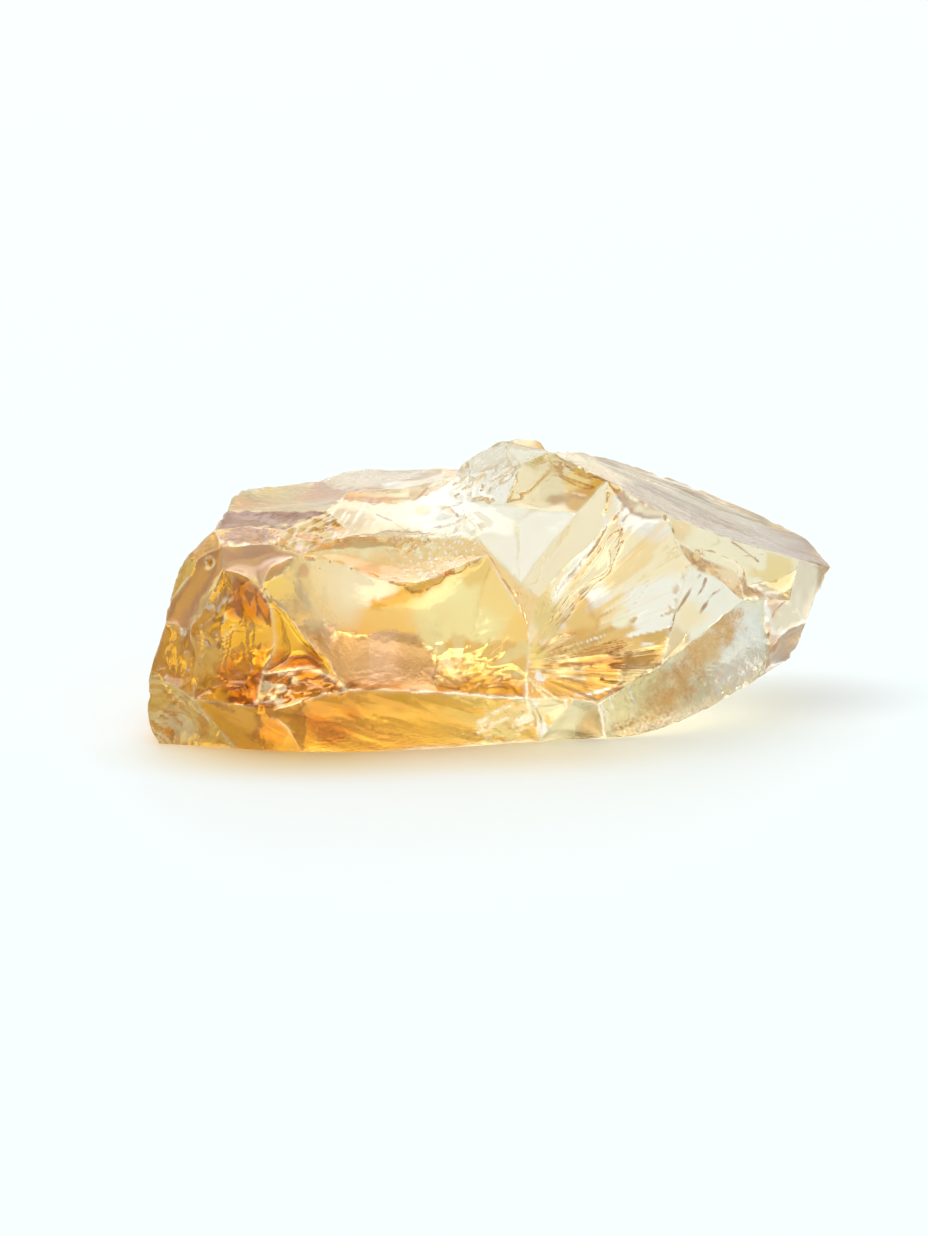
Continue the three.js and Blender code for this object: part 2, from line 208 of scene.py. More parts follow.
FACETS = {
    # Base.
    "base": (0,
        "foot_left foot_far_left foot_back_left foot_back foot_back_right foot_under "
        "foot_right foot_ridge foot_middle foot_front foot_step"),
    # Left end.
    "heel": (0.3, "foot_left foot_step toe notch_foot heel_high heel heel_low"),
    "notch": (0.4, "notch_foot notch notch_top flank_low heel_high"),
    "brown": (0.3, "flank_low notch_top notch_edge scoop_left belt_left sliver_high sliver_low flank"),
    "sliver_low": (0.05, "flank sliver_low sliver_high flank_high"),
    "sliver_high": (0.05, "sliver_high belt_left shoulder flank_high"),
    "left_end": (0.8,
        "flank_low flank flank_high shoulder "
        "shoulder_high top_left back_far_left left_bulge"),
    "left_foot": (0.3, "foot_left heel_low heel heel_high flank_low left_bulge foot_far_left"),
    "left_under": (0.2, "left_bulge back_far_left foot_far_left"),
    # Front.
    "scoop_left": (1.4,
        "notch_top notch notch_foot sill_left spine_low spine "
        "spine_high scoop_top petal_low scoop_left notch_edge"),
    "scoop_right": (1.0,
        "scoop_top spine_high spine spine_low "
        "flash scoop_rim_low scoop_rim scoop_rim_high"),
    "scoop_floor": (0.2, "spine_low sill_left sill sill_right scoop_rim_low flash"),
    "toe": (0.1, "foot_step foot_front arc sill_left notch_foot toe"),
    "band": (0.3,
        "foot_front foot_middle foot_ridge ridge_foot band "
        "scoop_rim_low sill_right sill sill_left arc"),
    "front": (0.8,
        "scoop_rim_low band ridge_foot ridge_fork ridge ridge_high lip_right lip "
        "lip_left lip_end dish_left petal_right scoop_top scoop_rim_high scoop_rim"),
    "petal": (0.3,
        "scoop_left petal_low scoop_top petal_right dish_left belt_right belt_middle belt_left"),
    "belt": (0.1, "belt_left belt_middle belt_right bench_right bench_front shoulder"),
    "dish": (0.4, "dish_left lip_end lip_left lip lip_right ridge_high rim_end rim_right rim rim_left"),
    # Low top.
    "shelf": (0.2, "belt_right dish_left rim_left slab_notch slab_left bench_right"),
    "slab": (0.3,
        "rim_left rim rim_right rim_end slab_end slab_corner "
        "slab_back_right slab_back slab_back_left slab_left slab_notch"),
    "ledge_left": (0.02, "slab_left slab_back_left ledge_left"),
    "ledge_middle": (0.05, "slab_back_left slab_back ledge ledge_left"),
    "ledge_right": (0.05, "slab_back slab_back_right ledge_right ledge"),
    "ledge_end": (0.1, "slab_back_right slab_corner crest_tail ledge_right"),
    "bench": (0.1, "shoulder bench_front bench_right slab_left bench_back shoulder_high"),
    "low_top": (0.5,
        "shoulder_high bench_back slab_left ledge_left ledge ledge_right "
        "top_back_right top_hump top_back top_back_left top_left"),
    # Crest.
    "crest_left": (0.2,
        "slab_end window_top crest_face crest_top_left crest_left crest_tail slab_corner"),
    "crest_right": (0.3, "window_top window_right fan_top crest_right crest_face"),
    "crest_chip": (0.05, "crest_face crest_right crest_top crest_top_left"),
    "crest_back_left": (0.3, "crest_tail crest_left crest_top_left saddle top_back_right ledge_right"),
    "crest_back_right": (0.4, "crest_top_left crest_top crest_right slope_back_high slope_back saddle"),
    # Window, wedge and narrow facet.
    "window": (0.15, "rim_end window_low window_side window_right window_top slab_end"),
    "wedge": (0.1, "window_low wedge_foot wedge_low wedge_high fan_top window_right window_side"),
    "narrow": (0.15, "rim_end ridge_high ridge ridge_fork wedge_foot window_low"),
    # Fan and the facets round it.
    "fan": (1.2,
        "ridge_foot instep frost_left frost chip chip_high "
        "fan_right fan_top wedge_high wedge_low wedge_foot ridge_fork"),
    "fan_side": (0.1, "frost fan_corner chip_low chip"),
    "chips": (0.05, "chip_high chip chip_low fan_corner step_low step_high"),
    "upper_right": (0.3,
        "fan_corner frost_top end_top slope_end slope_middle "
        "fan_right chip_high step_high step_low"),
    "instep": (0.1, "ridge_foot foot_ridge instep"),
    "foot_right": (0.15, "foot_ridge foot_right frost_left instep"),
    # Right end.
    "frosted": (0.25,
        "foot_right under_left under under_right end_front "
        "frost_top fan_corner frost frost_left"),
    "end_small": (0.15, "under_right end_foot end_low end_top frost_top end_front"),
    "end_tip": (0.1, "end_top end_low tip slope_end"),
    "slope": (0.3,
        "fan_top fan_right slope_middle slope_end tip "
        "slope_back_end slope_back_low slope_back slope_back_high crest_right"),
    "under_right": (0.4,
        "end_low end_foot under_right under under_left foot_right foot_under back_end"),
    "end_back": (0.2, "tip end_low back_end slope_back_end"),
    # Far side.
    "back_right": (0.5, "slope_back_low slope_back_end back_end back_right"),
    "back_slope": (0.7, "saddle slope_back slope_back_low back_right back"),
    "back_under_right": (0.4, "back_right back_end foot_under foot_back_right"),
    "back_low_right": (0.5, "back back_right foot_back_right foot_back"),
    "back_top": (0.6, "top_back_right saddle back back_middle"),
    "back_low": (0.4, "back_middle back foot_back foot_back_left back_left"),
    "back_top_left": (0.7, "top_back top_hump top_back_right back_middle back_left"),
    "back_left": (0.4, "top_left top_back_left top_back back_left back_far_left"),
    "back_low_left": (0.4, "back_far_left back_left foot_back_left foot_far_left"),
}


# Spacing of mesh points: along the ridges, on facets the camera sees, and on the rest. Points nearer
# to the rim than a share of the spacing are left out.
RIM_STEP = 0.14
FINE_STEP = 0.125
COARSE_STEP = 0.24
COARSE_FACETS = """base left_under under_right end_back back_right back_slope back_under_right
back_low_right back_top back_low back_top_left back_left back_low_left""".split()
RIM_CLEARANCE = 0.55

# Spacings of rim points that set a facet's plane, as in the source, and its curved surface, which is
# worked out for this many points at a time.
PLANE_STEP = 1.1
BLEND_STEP = 0.09
BLEND_ROWS = 1000
# A direction that no facet faces: each facet's own axes are taken from it.
UPRIGHT = (0.1, 0.2, 1)

# The middle of the corners' box, on the floor. The source centres the stone there.
BOX = np.array(list(CORNERS.values()))
CENTRE = (BOX.min(axis=0) + BOX.max(axis=0)) / 2 * (1, 1, 0)

# Odd numbers that mix a cell's place and a seed into a random number of 32 bits.
PLACE_MIX = (73856093, 19349663, 83492791)
SEED_MIX = 2654435761
FIRST_MIX = 1274126177
SECOND_MIX = 2246822519
WORD = 0xFFFFFFFF


def corner(name):
    return np.array(CORNERS[name], float)


def unit(vector):
    return vector / np.linalg.norm(vector)


def smooth(value):
    """Smooth step: 0 at or below 0, 1 at or above 1."""
    value = np.clip(value, 0, 1)
    return value * value * (3 - 2 * value)


def border(value, edge):
    """Smooth step this wide from 0 to 1, with its middle where the value is 0."""
    return smooth(value / edge + 0.5)


def noise(points, seed):
    """Smooth random heights from about -1 to 1, one cell to a unit of length, at rows of 3 numbers."""
    cell = np.floor(points).astype(np.int64)
    part = points - cell
    part = part * part * part * (part * (part * 6 - 15) + 10)
    total = np.zeros(len(points))
    for shift in np.ndindex(2, 2, 2):
        x, y, z = ((cell + shift) * PLACE_MIX).T
        mixed = x ^ y ^ z ^ (seed * SEED_MIX)
        mixed = (mixed ^ (mixed >> 13)) * FIRST_MIX & WORD
        mixed = (mixed ^ (mixed >> 16)) * SECOND_MIX & WORD
        value = ((mixed ^ (mixed >> 15)) & 0xFFFF) / 0x8000 - 1
        total += value * np.prod(np.where(shift, part, 1 - part), axis=1)
    return total


def waves(points, seed, height, size):
    """Smooth random waves this high, with cells of this size."""
    return height * noise(points / size, seed)


def curve_points(knots, places):
    """Points of a centripetal Catmull-Rom curve, where place 1.5 is halfway from knot 1 to knot 2."""
    padded = np.vstack([2 * knots[0] - knots[1], knots, 2 * knots[-1] - knots[-2]])
    index = np.minimum(places.astype(int), len(knots) - 2)
    before, start, end, after = (padded[index + shift] for shift in range(4))
    span = [np.sum((b - a) ** 2, axis=1, keepdims=True) ** 0.25
            for a, b in ((before, start), (start, end), (end, after))]
    leave = (start - before) / span[0] - (end - before) / (span[0] + span[1]) + (end - start) / span[1]
    arrive = (end - start) / span[1] - (after - start) / (span[1] + span[2]) + (after - end) / span[2]
    t = (places - index)[:, None]
    curved = leave * (t**3 - 2 * t**2 + t) + arrive * (t**3 - t**2)
    return start + (end - start) * (3 * t**2 - 2 * t**3) + curved * span[1]


def edge_points(first, last, spacing):
    """Points from one corner up to the next, without the last, as the source places them."""
    count = max(1, round(np.linalg.norm(corner(last) - corner(first)) / spacing))
    parts = np.arange(count) / count
    for ridge in (line.split() for line in RIDGES):
        if first in ridge and last in ridge and abs(ridge.index(first) - ridge.index(last)) == 1:
            places = ridge.index(first) + (ridge.index(last) - ridge.index(first)) * parts
            return curve_points(np.array([corner(name) for name in ridge]), places)
    return corner(first) + (corner(last) - corner(first)) * parts[:, None]


def sides(loop):
    """Pairs of neighbours round a loop."""
    return zip(loop, loop[1:] + loop[:1])


def rim_points(loop, spacing):
    return np.vstack([edge_points(first, last, spacing) for first, last in sides(loop)])


def inside(flat, polygon):
    """Which flat points lie inside a polygon, by counting crossings."""
    x, y = flat.T
    count = np.zeros(len(flat), int)
    for (x0, y0), (x1, y1) in zip(polygon, np.roll(polygon, -1, axis=0)):
        if y0 != y1:
            count += ((y0 > y) != (y1 > y)) & (x < x0 + (y - y0) * (x1 - x0) / (y1 - y0))
    return count % 2 == 1


class Facet:
    """A facet's plane, and the curved surface that hangs in its rim."""

    def __init__(self, name, hollow, loop):
        self.name = name
        self.hollow = hollow
        self.loop = loop
        rim = rim_points(loop, PLANE_STEP)
        self.middle = rim.mean(axis=0)
        spokes = rim - self.middle
        self.out = unit(np.cross(spokes, np.roll(spokes, -1, axis=0)).sum(axis=0))
        self.right = unit(np.cross(UPRIGHT, self.out))
        self.up = np.cross(self.out, self.right)
        near = rim_points(loop, BLEND_STEP)
        self.near_flat = self.flatten(near)
        self.near_rise = (near - self.middle) @ self.out
        self.deepest = self.blend(np.zeros((1, 2)))[1][0]

    def flatten(self, points):
        offset = points - self.middle
        return np.stack([offset @ self.right, offset @ self.up], axis=1)

    def blend(self, flat):
        """Rise over the plane, depth and distance to the rim: near rim points count most."""
        rise, depth, away = np.empty((3, len(flat)))
        for start in range(0, len(flat), BLEND_ROWS):
            rows = slice(start, start + BLEND_ROWS)
            gap = np.linalg.norm(flat[rows, None] - self.near_flat, axis=2)
            weight = gap ** -3.0
            total = weight.sum(axis=1)
            rise[rows] = weight @ self.near_rise / total
            depth[rows] = total ** -0.5
            away[rows] = gap.min(axis=1)
        return rise, depth, away

    def surface(self, flat):
        """Points of the curved surface over flat points, and their distance to the rim."""
        rise, depth, away = self.blend(flat)
        height = rise - self.hollow * depth / self.deepest
        points = self.middle + flat @ np.array([self.right, self.up]) + height[:, None] * self.out
        return points, away


def setting(function):
    """Turns a function of points, a facet and settings into one that takes its settings first."""
    def made(*settings):
        return lambda points, facet: function(points, facet, *settings)
    return made


# How far lines in the reliefs sway and how much rings fade, with the size of those waves.
RAY_SWAY = (0.6, 1.6)
GROOVE_SWAY = (0.5, 1.5)
RING_SWAY = (0.7, 1.8)
RING_FADE = (0.4, 1.1)
# The same after a seed.
RIPPLE_SWAY = (31, 2, 1.2)
STEP_SWAY = (11, 0.15, 0.7)
# Reach over which rays grow from their origin, width of a low step, and steepness of a terrace's.
RAY_START = 4
STEP_WIDTH = 0.2
TERRACE_SLOPE = 5


def around_origin(points, facet, origin):
    """Turn and reach of points about an origin, in the facet's plane, with turn 0 at its middle."""
    sight = -facet.flatten(np.array([origin]))[0]
    x, y = (facet.flatten(points) + sight).T
    along, across = unit(sight), unit(np.array([-sight[1], sight[0]]))
    ahead, aside = x * along[0] + y * along[1], x * across[0] + y * across[1]
    return np.arctan2(aside, ahead), np.hypot(x, y)


# Places among streaks: each function tells where points lie, in widths across and lengths along.
def lay(across, along):
    return np.stack([across, along, np.zeros(len(across))], axis=1)


def ray_places(points, facet, origin, spread, length):
    """Streaks that fan out from an origin, spread radians apart."""
    turn, reach = around_origin(points, facet, origin)
    return lay(turn / spread, reach / length)


def ring_places(points, facet, origin, width, length):
    """Streaks that run round an origin."""
    turn, reach = around_origin(points, facet, origin)
    return lay(reach / width + waves(points, *RIPPLE_SWAY), turn * reach / length)


def grain_places(points, facet, along, width, length):
    """Streaks that run side by side in a direction."""
    way = unit(np.array(along) - facet.out * (facet.out @ np.array(along)))
    across = np.cross(facet.out, way)
    return lay(points @ across / width, points @ way / length)


# Reliefs: with settings, each makes a function from points on a facet to heights over its surface.
@setting
def swell(points, facet, size, height, seed):
    """Broad smooth waves."""
    return waves(points, seed, height, size)


def crests(points, place, sway, seed):
    """Sharp crests, 1 high, over streaks that sway."""
    place[:, 0] += waves(points, seed + 5, *sway)
    return 1 - 2 * np.abs(noise(place, seed))


@setting
def rays(points, facet, origin, height, spread, length, seed):
    """Sharp-crested streaks that fan out from an origin."""
    place = ray_places(points, facet, origin, spread, length)
    start = smooth(place[:, 1] * length / RAY_START)
    return height * crests(points, place, RAY_SWAY, seed) * start


@setting
def grooves(points, facet, along, height, width, length, seed):
    """Sharp-crested streaks that run side by side in a direction."""
    place = grain_places(points, facet, along, width, length)
    return height * crests(points, place, GROOVE_SWAY, seed)


@setting
def rings(points, facet, origin, height, width, seed):
    """Ripples that run round an origin."""
    reach = around_origin(points, facet, origin)[1]
    wave = reach / width + waves(points, seed, *RING_SWAY)
    strength = 1 - RING_FADE[0] + waves(points, seed + 3, *RING_FADE)
    return height * np.sin(2 * math.pi * wave) * strength


@setting
def terraces(points, facet, size, height, steps, seed):
    """Flat patches with sharp low steps between them."""
    level = waves(points, seed, steps, size)
    tread = np.floor(level)
    return height * (tread + smooth(TERRACE_SLOPE * (level - tread))) / steps


@setting
def step(points, facet, start, end, height, reach):
    """A low step along a line, which dies away at its ends."""
    first, last = facet.flatten(np.array([start, end]))
    along = unit(last - first)
    offset = facet.flatten(points) - first
    run = offset @ along
    side = offset @ np.array([-along[1], along[0]]) + waves(points, *STEP_SWAY)
    ends = border(run, reach) * border(np.linalg.norm(last - first) - run, reach)
    return height * border(side, STEP_WIDTH) * ends * border(reach - np.abs(side), reach)


@setting
def within(points, facet, centre, radius, *reliefs):
    """Reliefs kept to a round patch."""
    share = border(radius - np.linalg.norm(points - np.array(centre), axis=1), radius)
    return share * sum(part(points, facet) for part in reliefs)


def pit(centre, radius, depth):
    """A small round hollow."""
    return within(centre, radius, lambda points, facet: -depth)


# Places that several reliefs and colours share: where fractures start, the foot of the step in the
# front, and the pit in the brown facet.
FAN_ORIGIN = (1.3, -5.8, 3.9)
SLOPE_ORIGIN = (2, 2, 15)
HACKLE_ORIGIN = (-1.6, -6.2, 2.9)
STEP_FOOT = (-2.8, -5, 4.5)
BROWN_PIT = (-14.7, -2.2, 8.6)

# Reliefs of the facets, added up. Facets that aren't named here have the back's.
RELIEFS = {
    "fan": [
        rays(FAN_ORIGIN, 0.12, 0.16, 6, 1),
        rays(FAN_ORIGIN, 0.03, 0.06, 3, 2),
        swell(2.5, 0.06, 3),
        within((6.5, -2.6, 9.5), 2.6, grooves((0.7, 0.3, 1), 0.05, 0.35, 3, 4)),
    ],
    "scoop_left": [
        swell(1.6, 0.18, 3),
        terraces(1.2, 0.35, 3, 4),
        within((-14.3, -4.4, 5.8), 1.6, swell(0.45, 0.08, 5)),
    ],
    "scoop_right": [swell(1.8, 0.12, 6), terraces(1.4, 0.12, 2, 7)],
    "scoop_floor": [swell(0.7, 0.08, 8), terraces(0.9, 0.2, 3, 9)],
    "front": [
        swell(3.2, 0.1, 10),
        within((0.2, -5.8, 4), 1.9, rays(HACKLE_ORIGIN, 0.1, 0.12, 2.5, 11),
            rings((0.5, -6, 2), 0.04, 0.5, 12)),
        within((-2, -5.6, 4.2), 1.2, terraces(0.9, 0.15, 3, 13)),
        step((-2.9, -4.3, 6.3), (-2.7, -6.8, 2.9), 0.18, 1.3),
    ],
    "heel": [
        rings((-19.5, -7.5, 4.5), 0.045, 0.42, 14),
        rings((-13.5, -7, 2.5), 0.03, 0.35, 19),
        swell(1, 0.08, 15),
    ],
    "notch": [terraces(0.9, 0.2, 3, 16), grooves((-0.2, -0.6, -1), 0.05, 0.4, 2, 50)],
    "toe": [swell(1.1, 0.05, 17), grooves((1, 0, -0.45), 0.02, 0.25, 4, 51)],
    "band": [
        swell(2.2, 0.05, 18),
        grooves((1, 0, -0.35), 0.03, 0.3, 6, 52),
        within((0.8, -6.4, 1), 1.1, grooves((1, 0, 0.35), 0.14, 0.3, 1.2, 53)),
    ],
    "brown": [swell(2.2, 0.06, 20), pit(BROWN_PIT, 0.3, 0.1)],
    "petal": [swell(1.8, 0.04, 21)],
    "belt": [terraces(0.6, 0.15, 3, 22), swell(0.35, 0.05, 23)],
    "dish": [swell(2, 0.05, 24), within((-4, -2.6, 9.4), 3.5, swell(0.3, 0.012, 55))],
    "shelf": [rays((-12.5, -2, 10), 0.05, 0.08, 1.2, 25), terraces(0.7, 0.1, 2, 56)],
    "slab": [
        swell(2.4, 0.08, 26),
        grooves((0.3, 0.9, 0.3), 0.012, 0.3, 4, 57),
        within((-1.8, 0, 11.2), 1.5, terraces(0.8, 0.2, 3, 58)),
    ],
    "bench": [swell(1.5, 0.04, 27), within((-12.3, 0.2, 10.1), 1.2, swell(0.3, 0.03, 59))],
    "low_top": [swell(3, 0.06, 28)],
    "crest_left": [terraces(1.5, 0.22, 2, 30), grooves((1, 0.25, 1), 0.1, 0.7, 3, 31)],
    "crest_chip": [grooves((1, 0.25, 0.6), 0.04, 0.4, 3, 61)],
    "crest_right": [swell(0.9, 0.08, 32), grooves((1, -0.4, -0.2), 0.06, 0.6, 2.5, 33)],
    "window": [swell(2.5, 0.05, 34)],
    "wedge": [swell(1.3, 0.04, 35), rays((6, -2, 12.5), 0.02, 0.05, 1.5, 36)],
    "narrow": [swell(0.8, 0.06, 37), terraces(0.7, 0.12, 3, 38)],
    "fan_side": [
        swell(2, 0.03, 39),
        step((11.3, -2.8, 8), (10, -4.1, 4.4), 0.07, 0.6),
        step((12, -2.9, 7.4), (10.6, -3.8, 5), 0.06, 0.6),
    ],
    "chips": [terraces(0.6, 0.1, 3, 41)],
    "upper_right": [
        swell(1.6, 0.06, 42),
        step((10.5, -1.9, 9.3), (12.9, -1.6, 8), 0.06, 0.8),
        within((14, -1.2, 7.4), 1.6, terraces(0.8, 0.15, 3, 62)),
    ],
    "frosted": [rays((2, -4, 9), 0.02, 0.03, 1.2, 43), swell(1.8, 0.06, 44), swell(0.35, 0.015, 63)],
    "end_small": [rings((15.4, -1.2, 5), 0.04, 1.3, 64)],
    "slope": [swell(2.5, 0.05, 45), rays(SLOPE_ORIGIN, 0.03, 0.05, 9, 46)],
    "left_end": [swell(2.5, 0.15, 47)],
    "base": [swell(2.2, -0.03, 48)],
}
BACK_RELIEF = [swell(3.4, 0.15, 60)]

# Colours of the stone.
AMBER = (1, 0.52, 0.03)
BRIGHT_AMBER = (1, 0.5, 0.01)
BURNT_AMBER = (0.76, 0.2, 0.001)
DARK_AMBER = (0.5, 0.12, 0.002)
DEEP_AMBER = (0.8, 0.35, 0.01)
BROWN_AMBER = (0.6, 0.22, 0.003)
GOLD = (0.8, 0.34, 0.03)
DARK_GOLD = (0.62, 0.24, 0.01)
YELLOW = (1, 0.5, 0.07)
STRAW = (0.94, 0.7, 0.24)
HONEY = (1, 0.62, 0.22)
ROSE = (0.84, 0.47, 0.17)
MAUVE = (0.8, 0.5, 0.32)
BROWN = (0.5, 0.26, 0.11)
RUST = (0.62, 0.3, 0.07)
OLIVE = (0.6, 0.45, 0.14)
KHAKI = (0.7, 0.63, 0.33)
CLEAR = (1, 0.98, 0.92)
CREAM = (1, 0.92, 0.66)
IVORY = (1, 0.8, 0.46)
WHITE = (1, 1, 1)
GREY_GREEN = (0.75, 0.76, 0.53)
GREY_BEIGE = (0.58, 0.51, 0.38)
GREY_MAUVE = (0.46, 0.38, 0.3)

# Finish of the facets: colour, veil and frost. The veil is the share of light that the surface
# scatters instead of letting it through, and the frost is its roughness. Facets that aren't named
# here have the back's veil and frost, and run from amber to nearly clear between two values of X.
FINISHES = {
    "heel": ((1, 0.78, 0.17), 0.22, 0.04),
    "notch": (AMBER, 0.1, 0.03),
    "brown": ((0.62, 0.31, 0.11), 0.5, 0.06),
    "scoop_left": (AMBER, 0.12, 0.03),
    "scoop_right": (BRIGHT_AMBER, 0.12, 0.02),
    "scoop_floor": ((0.37, 0.09, 0.0006), 0.12, 0.03),
    "toe": ((1, 0.5, 0.02), 0.5, 0.05),
    "band": (DEEP_AMBER, 0.28, 0.06),
    "front": (YELLOW, 0, 0.02),
    "petal": (MAUVE, 0.65, 0.06),
    "belt": (HONEY, 0.15, 0.05),
    "dish": ((1, 0.74, 0.22), 0.14, 0.04),
    "shelf": (OLIVE, 0.15, 0.05),
    "slab": ((0.93, 0.9, 0.8), 0.05, 0.03),
    "bench": ((0.22, 0.07, 0.012), 0.55, 0.1),
    "low_top": ((0.65, 0.58, 0.22), 0.42, 0.15),
    "crest_left": (WHITE, 0.15, 0.03),
    "crest_right": (IVORY, 0.1, 0.02),
    "crest_chip": (CLEAR, 0.15, 0.03),
    "window": (WHITE, 0, 0.02),
    "wedge": ((1, 0.84, 0.56), 0.08, 0.03),
    "narrow": (HONEY, 0.12, 0.03),
    "fan": (IVORY, 0, 0.02),
    "fan_side": ((1, 1, 0.92), 0.18, 0.03),
    "chips": ((0.72, 0.42, 0.18), 0.25, 0.08),
    "upper_right": ((1, 0.9, 0.62), 0.15, 0.03),
    "instep": ((0.72, 0.64, 0.28), 0.2, 0.03),
    "foot_right": ((0.66, 0.62, 0.33), 0.35, 0.06),
    "frosted": (GREY_GREEN, 0.55, 0.3),
    "end_small": (WHITE, 0.25, 0.06),
    "end_tip": ((0.91, 0.79, 0.58), 0.45, 0.06),
    "slope": (GREY_BEIGE, 0.5, 0.15),
    "left_end": (AMBER, 0.08, 0.06),
    "sliver_low": ((1, 0.74, 0.15), 0.15, 0.05),
    **dict.fromkeys(("ledge_left", "ledge_middle", "ledge_right"), (CLEAR, 0.3, 0.06)),
    "ledge_end": (CLEAR, 0.2, 0.05),
}
BACK_FINISH = (0.08, 0.06)
BODY_RUN = (-13, 0)

# How far ragged borders sway, and the size of the sway in mm. A stripe's counts in its widths, and a
# straight border's in wobbles.
PATCH_SWAY = [(0.35, 0.6)]
STRIPE_SWAY = [(0.5, 0.5), (0.2, 0.2)]
STRIPE_SEED = 110
BORDER_SWAY = [(1, 0.8), (0.6, 0.3)]
BORDER_WOBBLE = 0.2
BORDER_SEED = 120
# Length of streaks and tongues in mm, and how much finer and lower the small tongues are.
STREAK_LENGTH = 4
TONGUE_LENGTH = 5
SMALL_TONGUES = (2.3, 1.5, 1)
SMALL_TONGUE = 0.5


def ragged(points, seed, sways):
    """Smooth random waves of several heights and sizes, added up."""
    return sum(waves(points, seed + number, *sway) for number, sway in enumerate(sways))


# Shares: with settings, each makes a function from points on a facet to how much of them a colour
# takes, 0 to 1.
@setting
def patch(points, facet, centre, radius, edge=0.4, seed=100):
    """A ragged round patch."""
    gap = np.linalg.norm(points - np.array(centre), axis=1) + ragged(points, seed, PATCH_SWAY)
    return border(radius - gap, edge)


def line_gap(points, places):
    """Distance of points from a line through some places."""
    gap = np.full(len(points), np.inf)
    for start, end in zip(places, places[1:]):
        first, along = np.array(start), np.subtract(end, start)
        run = np.clip((points - first) @ along / (along @ along), 0, 1)
        gap = np.minimum(gap, np.linalg.norm(points - first - run[:, None] * along, axis=1))
    return gap


@setting
def stripe(points, facet, places, width, edge=0.2):
    """A ragged stripe through some places."""
    gap = line_gap(points, places) + width * ragged(points, STRIPE_SEED, STRIPE_SWAY)
    return border(width / 2 - gap, edge)


@setting
def beside(points, facet, place, way, edge=0.2):
    """What lies past a place in a direction, with a ragged border."""
    reach = (points - np.array(place)) @ unit(np.array(way))
    return border(reach + BORDER_WOBBLE * ragged(points, BORDER_SEED, BORDER_SWAY), edge)


def under(height, edge=0.2):
    """What lies under a ragged level line."""
    return beside((0, 0, height), (0, 0, -1), edge)


@setting
def flames(points, facet, origin, height, reach, spread, edge=0.15, seed=130):
    """What lies under a level line that is torn into tongues pointing away from an origin."""
    place = ray_places(points, facet, origin, spread, TONGUE_LENGTH)
    tongue = noise(place, seed) + SMALL_TONGUE * noise(place * SMALL_TONGUES, seed + 1)
    return border(height + reach * tongue - points[:, 2], edge)


def scattered(place, amount, seed, edge=0.3):
    """Random spots over about this share of the places."""
    return border(noise(place, seed) + 2 * amount - 1, edge)


@setting
def streaks(points, facet, origin, spread, amount, seed=140):
    """Streaks that fan out from an origin, over about this share of the facet."""
    return scattered(ray_places(points, facet, origin, spread, STREAK_LENGTH), amount, seed)


@setting
def grain(points, facet, along, width, length, amount, seed=145):
    """Streaks that run side by side in a direction, over about this share of the facet."""
    return scattered(grain_places(points, facet, along, width, length), amount, seed, 0.4)


@setting
def ripples(points, facet, origin, width, length, amount, seed=157):
    """Thin arcs that run round an origin, over about this share of the facet."""
    return scattered(ring_places(points, facet, origin, width, length), amount, seed)


@setting
def flecks(points, facet, size, amount, seed=150):
    """Scattered flecks over about this share of the facet."""
    return scattered(points / size, amount, seed)


@setting
def both(points, facet, *shares):
    """What several shares have in common."""
    return math.prod(share(points, facet) for share in shares)


# Shares and lines that several layers use, or that are long.
LEFT_OF_STEP = beside(STEP_FOOT, (-1, 0, 0), 0.1)
RIGHT_OF_STEP = beside(STEP_FOOT, (1, 0, 0), 0.1)
# Line of the painted shade under the dish's lip on the front.
GOLDEN_LIP_SHADE = [(-6, -4.2, 6.6), (-4.6, -4.2, 7.2), (-3.3, -4.2, 7.75), (-2, -4, 8.4)]
BAND_LENS = [(-0.3, -6.5, 0.9), (1.9, -6.2, 1.5)]
